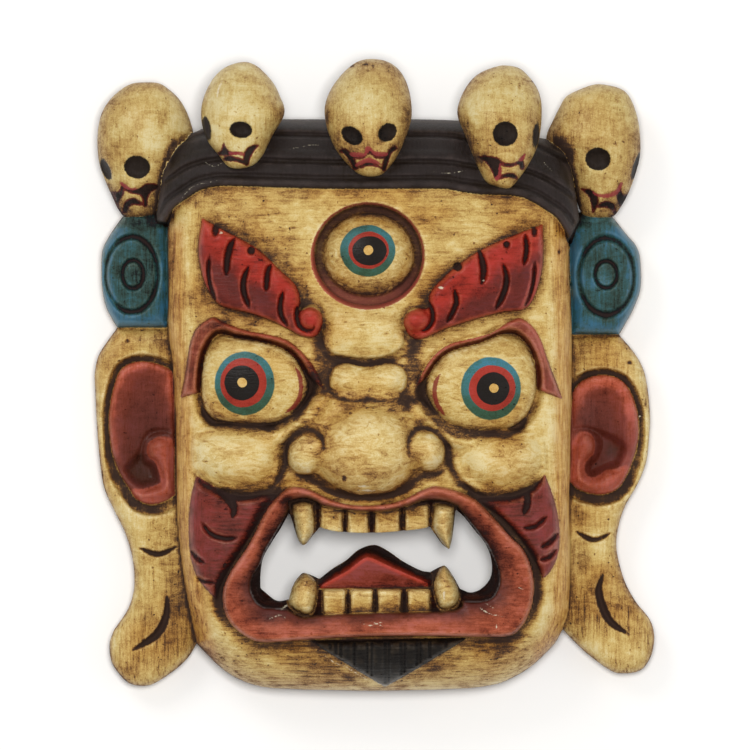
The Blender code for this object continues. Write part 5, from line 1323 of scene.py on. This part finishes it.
def painted_wood_finish():
    """Matt paint over carved wood, rubbed with a brown wash and thinly varnished.

    It gives the eye flat coats of cream, red and black with slightly ragged edges, brush strokes that the wash
    picks out, dark lines in every groove, painted shade in hollows and corners and beside the lids and lips,
    painted highlights on broad swells, brow tops and lid ridges, and a low sheen that goes dull where the wash
    and painted shade lie thick.
    """
    material, shader = new_material("aged_paint_on_wood")
    add = partial(add_node, material.node_tree)
    place = add("TexCoord").node.outputs["Object"]
    split = add("SeparateXYZ", place).node.outputs
    from_middle, up = add("Math ABSOLUTE", split[0]), split[1]
    stored = {name: add("Attribute " + name).node.outputs["Fac"] for name in EDGE_FIELDS + OTHER_FIELDS}
    pattern = {}
    for name, (apart, detail, rough, stretch, shift, turn, swirl) in PATTERNS.items():
        where = add("Mapping", place, (shift, shift, 0), (0, 0, turn), stretch)
        pattern[name] = add("TexNoise", where, 1 / (apart * MM), detail, rough, None, swirl)
    # brush strokes run across the face, and along its sides and the band
    at_side = add(LARGER, add(EASED, from_middle, 0.108, 0.125), add(EASED, up, 0.128, 0.14))
    pattern["brush"] = add("Mix FLOAT", at_side, pattern["across"], pattern["along"])

    def swing(name, strength):
        """A pattern, up to half of this strength either way."""
        return add(LINE, pattern[name], strength, -strength / 2)

    def varied(value, name, strength):
        """A value, with a pattern added."""
        return add(SUM, value, swing(name, strength))

    def total(values):
        """The sum of a list of values."""
        result = values[0]
        for value in values[1:]:
            result = add(SUM, result, value)
        return result

    def layered(colour, *layers):
        """A colour under more coats, each the share that it covers and its own colour."""
        for share, paint in layers:
            colour = add(COAT, share, colour, paint)
        return colour

    edge = swing("edge", 1.6)

    def inside(name, start=0.0, soft=0.35, share=1.0):
        """This share inside a painted shape, and 0 outside its ragged edge."""
        return add(EASED, add(SUM, stored[name], edge), start - soft, start + soft, 0, share)

    worn = add(EASED, varied(stored["hollow_fine"], "mottle", 1.6), -0.25, -1.1)
    dulled = total([swing("patches", 1.6), swing("brush", 1.4), 0.5])

    def coat(fresh, dull, wear=0.45, rubbed="D08A78"):
        """A coat that has gone dull in streaks and is rubbed pale along its ridges."""
        return layered(fresh, (dulled, dull), (add(PRODUCT, worn, wear), rubbed))

    cream = layered(
        "DFCC94",
        (add(EASED, pattern["cloud"], 0.42, 0.62), "D9BC7C"),
        (add(PRODUCT, stored["bone"], 0.45), "D5CBA0"),
        (add(PRODUCT, worn, 0.5), "F2E6C0"),
        # painted highlight: paler cream where broad forms swell and on the skulls' tops
        (add(EASED, stored["hollow_wide"], -1.2, -5, 0, 0.35), "F1E4BA"),
        (add(PRODUCT, stored["strip"], 0.85),
         layered("DCB266", (add(EASED, pattern["along"], 0.38, 0.62), "C08C42"))),
    )
    # painted light: the brows are brighter red towards their top edges and scrolls and darker maroon lower
    # down; they are also duller in streaks and rubbed pale on their ridges
    brow = layered(
        "B4342C",
        (add(EASED, varied(stored["brow_up"], "patches", 2), 0.5, -0.5), "5C2424"),
        (add(PRODUCT, dulled, 0.5), "8A2F2B"),
        (add(PRODUCT, worn, 0.45), "CC6054"),
    )
    # painted shade: the lip darkens to deep maroon towards the mouth
    lip = layered(
        coat("C46C5A", "93483A", 0.3),
        (add(EASED, varied(stored["lip_across"], "patches", 0.7), 0.35, 1), "55241F"),
    )
    # painted shade and highlight: the lid darkens to maroon-brown next to the eyeball, and a brighter red runs
    # along its outer ridge
    ridge = add(PRODUCT, add(EASED, stored["lid"], 2.8, 1.6), add(EASED, stored["eyeball"], -3, -4.5))
    lid = layered(
        coat("94463A", "6E382E"),
        (add(EASED, varied(stored["eyeball"], "mottle", 4), -4, -1.5), "5A2B23"),
        (add(PRODUCT, ridge, add(EASED, from_middle, 0.124, 0.118, 0, 0.7)), "B4574A"),
    )
    # painted shade in the ear's bowl: darker away from its pink rim and towards its pit, though not on the
    # tragus
    from_rim = varied(stored["basin"], "patches", 9)
    off_tragus = add("Math SUBTRACT", 1.0, inside("tragus", 0, 1.2))
    pit_shade = add(EASED, varied(stored["pit"], "patches", 30), -38, -2, 0, 0.85)
    deepest_pit_shade = add(EASED, varied(stored["pit"], "patches", 14), -4, 9)
    inner_ear = layered(
        coat("CC6C5E", "B25648"),
        (add(EASED, from_rim, 1.5, 6.5), "8C4238"),
        (add(EASED, from_rim, 5, 16, 0, 0.8), "6E332D"),
        (inside("tragus", share=0.9), coat("BE6152", "A04C3F")),
        (add(PRODUCT, pit_shade, off_tragus), "5E2A25"),
        (add(PRODUCT, deepest_pit_shade, off_tragus), "4A2E2B"),
        (add(PRODUCT, inside("tragus"), add(EASED, pattern["along"], 0.4, 0.6, 0.45, 0)), "8E4A40"),
    )
    # painted shade: the tongue's sides darken as they fall into the mouth
    shaded_tongue_side = layered("8A2F26", (add(EASED, stored["tongue_face"], -0.5, -4), "2E1513"))
    tongue_top = layered(
        coat("9E4B47", "883F3D"), (add(EASED, stored["tongue_face"], 3.2, 1.2), "B4473D"))
    in_tongue, in_gum = inside("tongue"), inside("gum")
    colour = layered(
        cream,
        (inside("brow"), brow),
        (inside("lip"), lip),
        (inside("lid"), lid),
        (inside("sideburn"), coat("8E3836", "5C3133", 0.3)),
        (inside("pink"), inner_ear),
        (inside("blue"), coat("356A88", "36525A", 0.25, "7FA6B8")),
        (in_gum, "46241F"),
        (in_tongue, shaded_tongue_side),
        (add(PRODUCT, in_tongue, inside("tongue_face")), tongue_top),
    )
    in_iris = 0.0
    for rounds in IRISES:
        level = rounds[0][0][1] - MIDDLE[1]
        blue = add(COAT, add(EASED, up, (level - 17) * MM, (level + 12) * MM), "3B655E", "417F9A")
        for ((x, y), radii), paint in zip(rounds, (blue, "AC3A32", "1B1616", "DDBE80")):
            middle, size = (x * MM, (y - MIDDLE[1]) * MM, 0), (radii[0] * MM, radii[1] * MM, 1e4)
            away = add("VectorMath LENGTH", add("Mapping TEXTURE", place, middle, None, size))
            spot = add(EASED, add(SUM, away, swing("mottle", 1.6 / radii[0])), 1.02, 0.98)
            colour = layered(colour, (spot, paint))
            in_iris = add(LARGER, in_iris, spot)
    in_black = inside("black")
    crimson = add(EASED, varied(stored["mouth"], "mottle", 3), 0.5, 1.1)
    colour = layered(
        colour,
        (in_black, coat("2B2220", "1F1817", 0.5, "4E423F")),
        (inside("mouth"), layered("752B2C", (crimson, "2E1F1F"))),
        (inside("beard"), coat("1D1A1A", "171414", 0.5, "5A524C")),
    )

    # brown wash and painted shade: the wash left lying, in strokes and rubs; wash and painted shade in
    # hollows, creases and corners; and wash in the cuts
    strokes_left = add(SUM, swing("brush", 0.7), add(EASED, pattern["brush"], 0.6, 0.7, 0, 0.12))
    rubbed = swing("rag", 1.7)
    for where, less in ((stored["brushed"], 0.5), (in_iris, 0.7), (stored["bone"], 0.4)):
        rubbed = add(PRODUCT, rubbed, add(LINE, where, -less, 1.0))
    hollow_wash_and_shade = [
        add(PRODUCT, add("Clamp", stored[name], low, high), share)
        for name, low, high, share in (
            ("hollow_wide", -2.5, 5, 0.035), ("hollow", -1.5, 4, 0.04), ("hollow_fine", -1, 2.5, 0.05))
    ]
    wash = total([
        stored["tone"],
        *(swing(name, share) for name, share in (
            ("mottle", 0.7), ("patches", 0.65), ("cloud", 0.8), ("grit", 0.7))),
        add(PRODUCT, strokes_left, stored["brushed"]),
        add(PRODUCT, swing("along", 0.35), stored["bone"]),
        rubbed,
        *hollow_wash_and_shade,
        # the creases hold brown wash in the carved creases and painted shade from the face's and skulls'
        # painted shadows
        add(EASED, varied(stored["crease"], "mottle", 8), -9, 0, 0, 0.2),
        inside("crease", 0.1, 1.7, 0.34),
        inside("cut", 0.15, 0.95, 0.6),
        add(EASED, pattern["specks"], 0.72, 0.76, 0, 0.4),
        add(EASED, stored["under"], 3, 12, 0, -0.25),
    ])
    ramp = add("ValToRGB", wash)
    stops = ramp.node.color_ramp.elements
    while len(stops) < len(WASH_AND_SHADE):
        stops.new(0.5)
    for stop, (position, left) in zip(stops, WASH_AND_SHADE):
        stop.position = position
        stop.color = linear(left)
    colour = add(COAT, 1.0, colour, ramp)
    colour.node.blend_type = "MULTIPLY"

    # what lies over the wash: the darkest brown where wash and painted shade lie thickest, the painted lines,
    # pale chips, and bare wood low down
    darkest_wash_and_shade = add(EASED, wash, 0.8, 1.2, 0, 0.8)
    # painted shade: the groove round the third eye is dark brown at its top and red-brown at its bottom
    ring = layered("3A241D", (add(EASED, add(SUM, up, swing("mottle", 0.02)), 0.078, 0.052), "7B4136"))
    arcs = layered("A5483E", (add(EASED, up, 0.1, 0.12), "8A3232"))
    red = layered("7E2723", (add(EASED, up, 0.02, 0.04), arcs))
    unpainted = add("Math SUBTRACT", 1.0, add(LARGER, in_gum, in_black))
    colour = layered(
        colour,
        (darkest_wash_and_shade, "2D1F1B"),
        (inside("ring", 0.5, 1.6, 0.85), ring),
        (inside("red_line", 0.2, share=0.9), red),
        (inside("pale", 0.2, share=0.75), "E0D6BA"),
        (add(PRODUCT, add(EASED, stored["under"], 12, 22), unpainted), "8A6A44"),
    )
    rough = add(LARGER, add(LINE, pattern["mottle"], 0.3, 0.2), add(EASED, wash, 0.4, 0.9, 0.4, 0.85))
    rough = add(LARGER, rough, add(PRODUCT, in_black, 0.62))
    bump = add("Bump", 0.6, 0.0009, None, add(SUM, swing("brush", 0.7), swing("pores", 0.2)))
    for name, value in (("Base Color", colour), ("Roughness", rough), ("Normal", bump)):
        material.node_tree.links.new(value, shader.inputs[name])
    shader.inputs["Specular IOR Level"].default_value = 0.42
    return material


# --- the studio, in metres: name, place, size, power and whether it is seen in gloss
LIGHTS = (
    ("key", (-1.2, 1.5, 2.0), 0.9, 12, True),
    ("fill", (1.8, 0.2, 1.8), 1.6, 4, True),
    ("top", (0.05, 0.1, 2.9), 0.6, 57, False),
)
CAMERA_PLACE = (0.00035, 0.0006, 5.0)
# the view is this wide at this height over the floor
FRAMED_WIDTH = 0.525
FRAMED_HEIGHT = 0.06
SENSOR = 36


def studio():
    """A floor of matt white card, three soft lights and a camera that looks straight down."""
    card, shader = new_material("pale_floor")
    shader.inputs["Base Color"].default_value = linear("FBFAF8")
    shader.inputs["Roughness"].default_value = 0.9
    corners = np.array([(-4, -4, 0), (4, -4, 0), (4, 4, 0), (-4, 4, 0)]) / MM
    floor = mesh_object("floor", corners, np.array([(0, 1, 2, 3)]), card)

    scene = bpy.context.scene
    scene.world = bpy.data.worlds.new("studio")
    scene.world.use_nodes = True
    background = scene.world.node_tree.nodes["Background"].inputs
    background["Color"].default_value = (1, 1, 1, 1)
    background["Strength"].default_value = 0.33
    for name, place, size, power, in_gloss in LIGHTS:
        light = bpy.data.lights.new(name, "AREA")
        light.size = size
        light.energy = power
        lamp = placed(name, light, place)
        lamp.visible_glossy = in_gloss
        lamp.rotation_euler = (-Vector(place)).to_track_quat("-Z", "Y").to_euler()

    lens = bpy.data.cameras.new("camera")
    lens.sensor_width = SENSOR
    lens.lens = SENSOR * (CAMERA_PLACE[2] - FRAMED_HEIGHT) / FRAMED_WIDTH
    lens.clip_end = 20
    scene.camera = placed("camera", lens, CAMERA_PLACE)
    scene.view_settings.view_transform = "Standard"


paint = painted_wood_finish()
mask = carved_mask(paint)
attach(mask, "root")
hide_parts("mask")
studio()
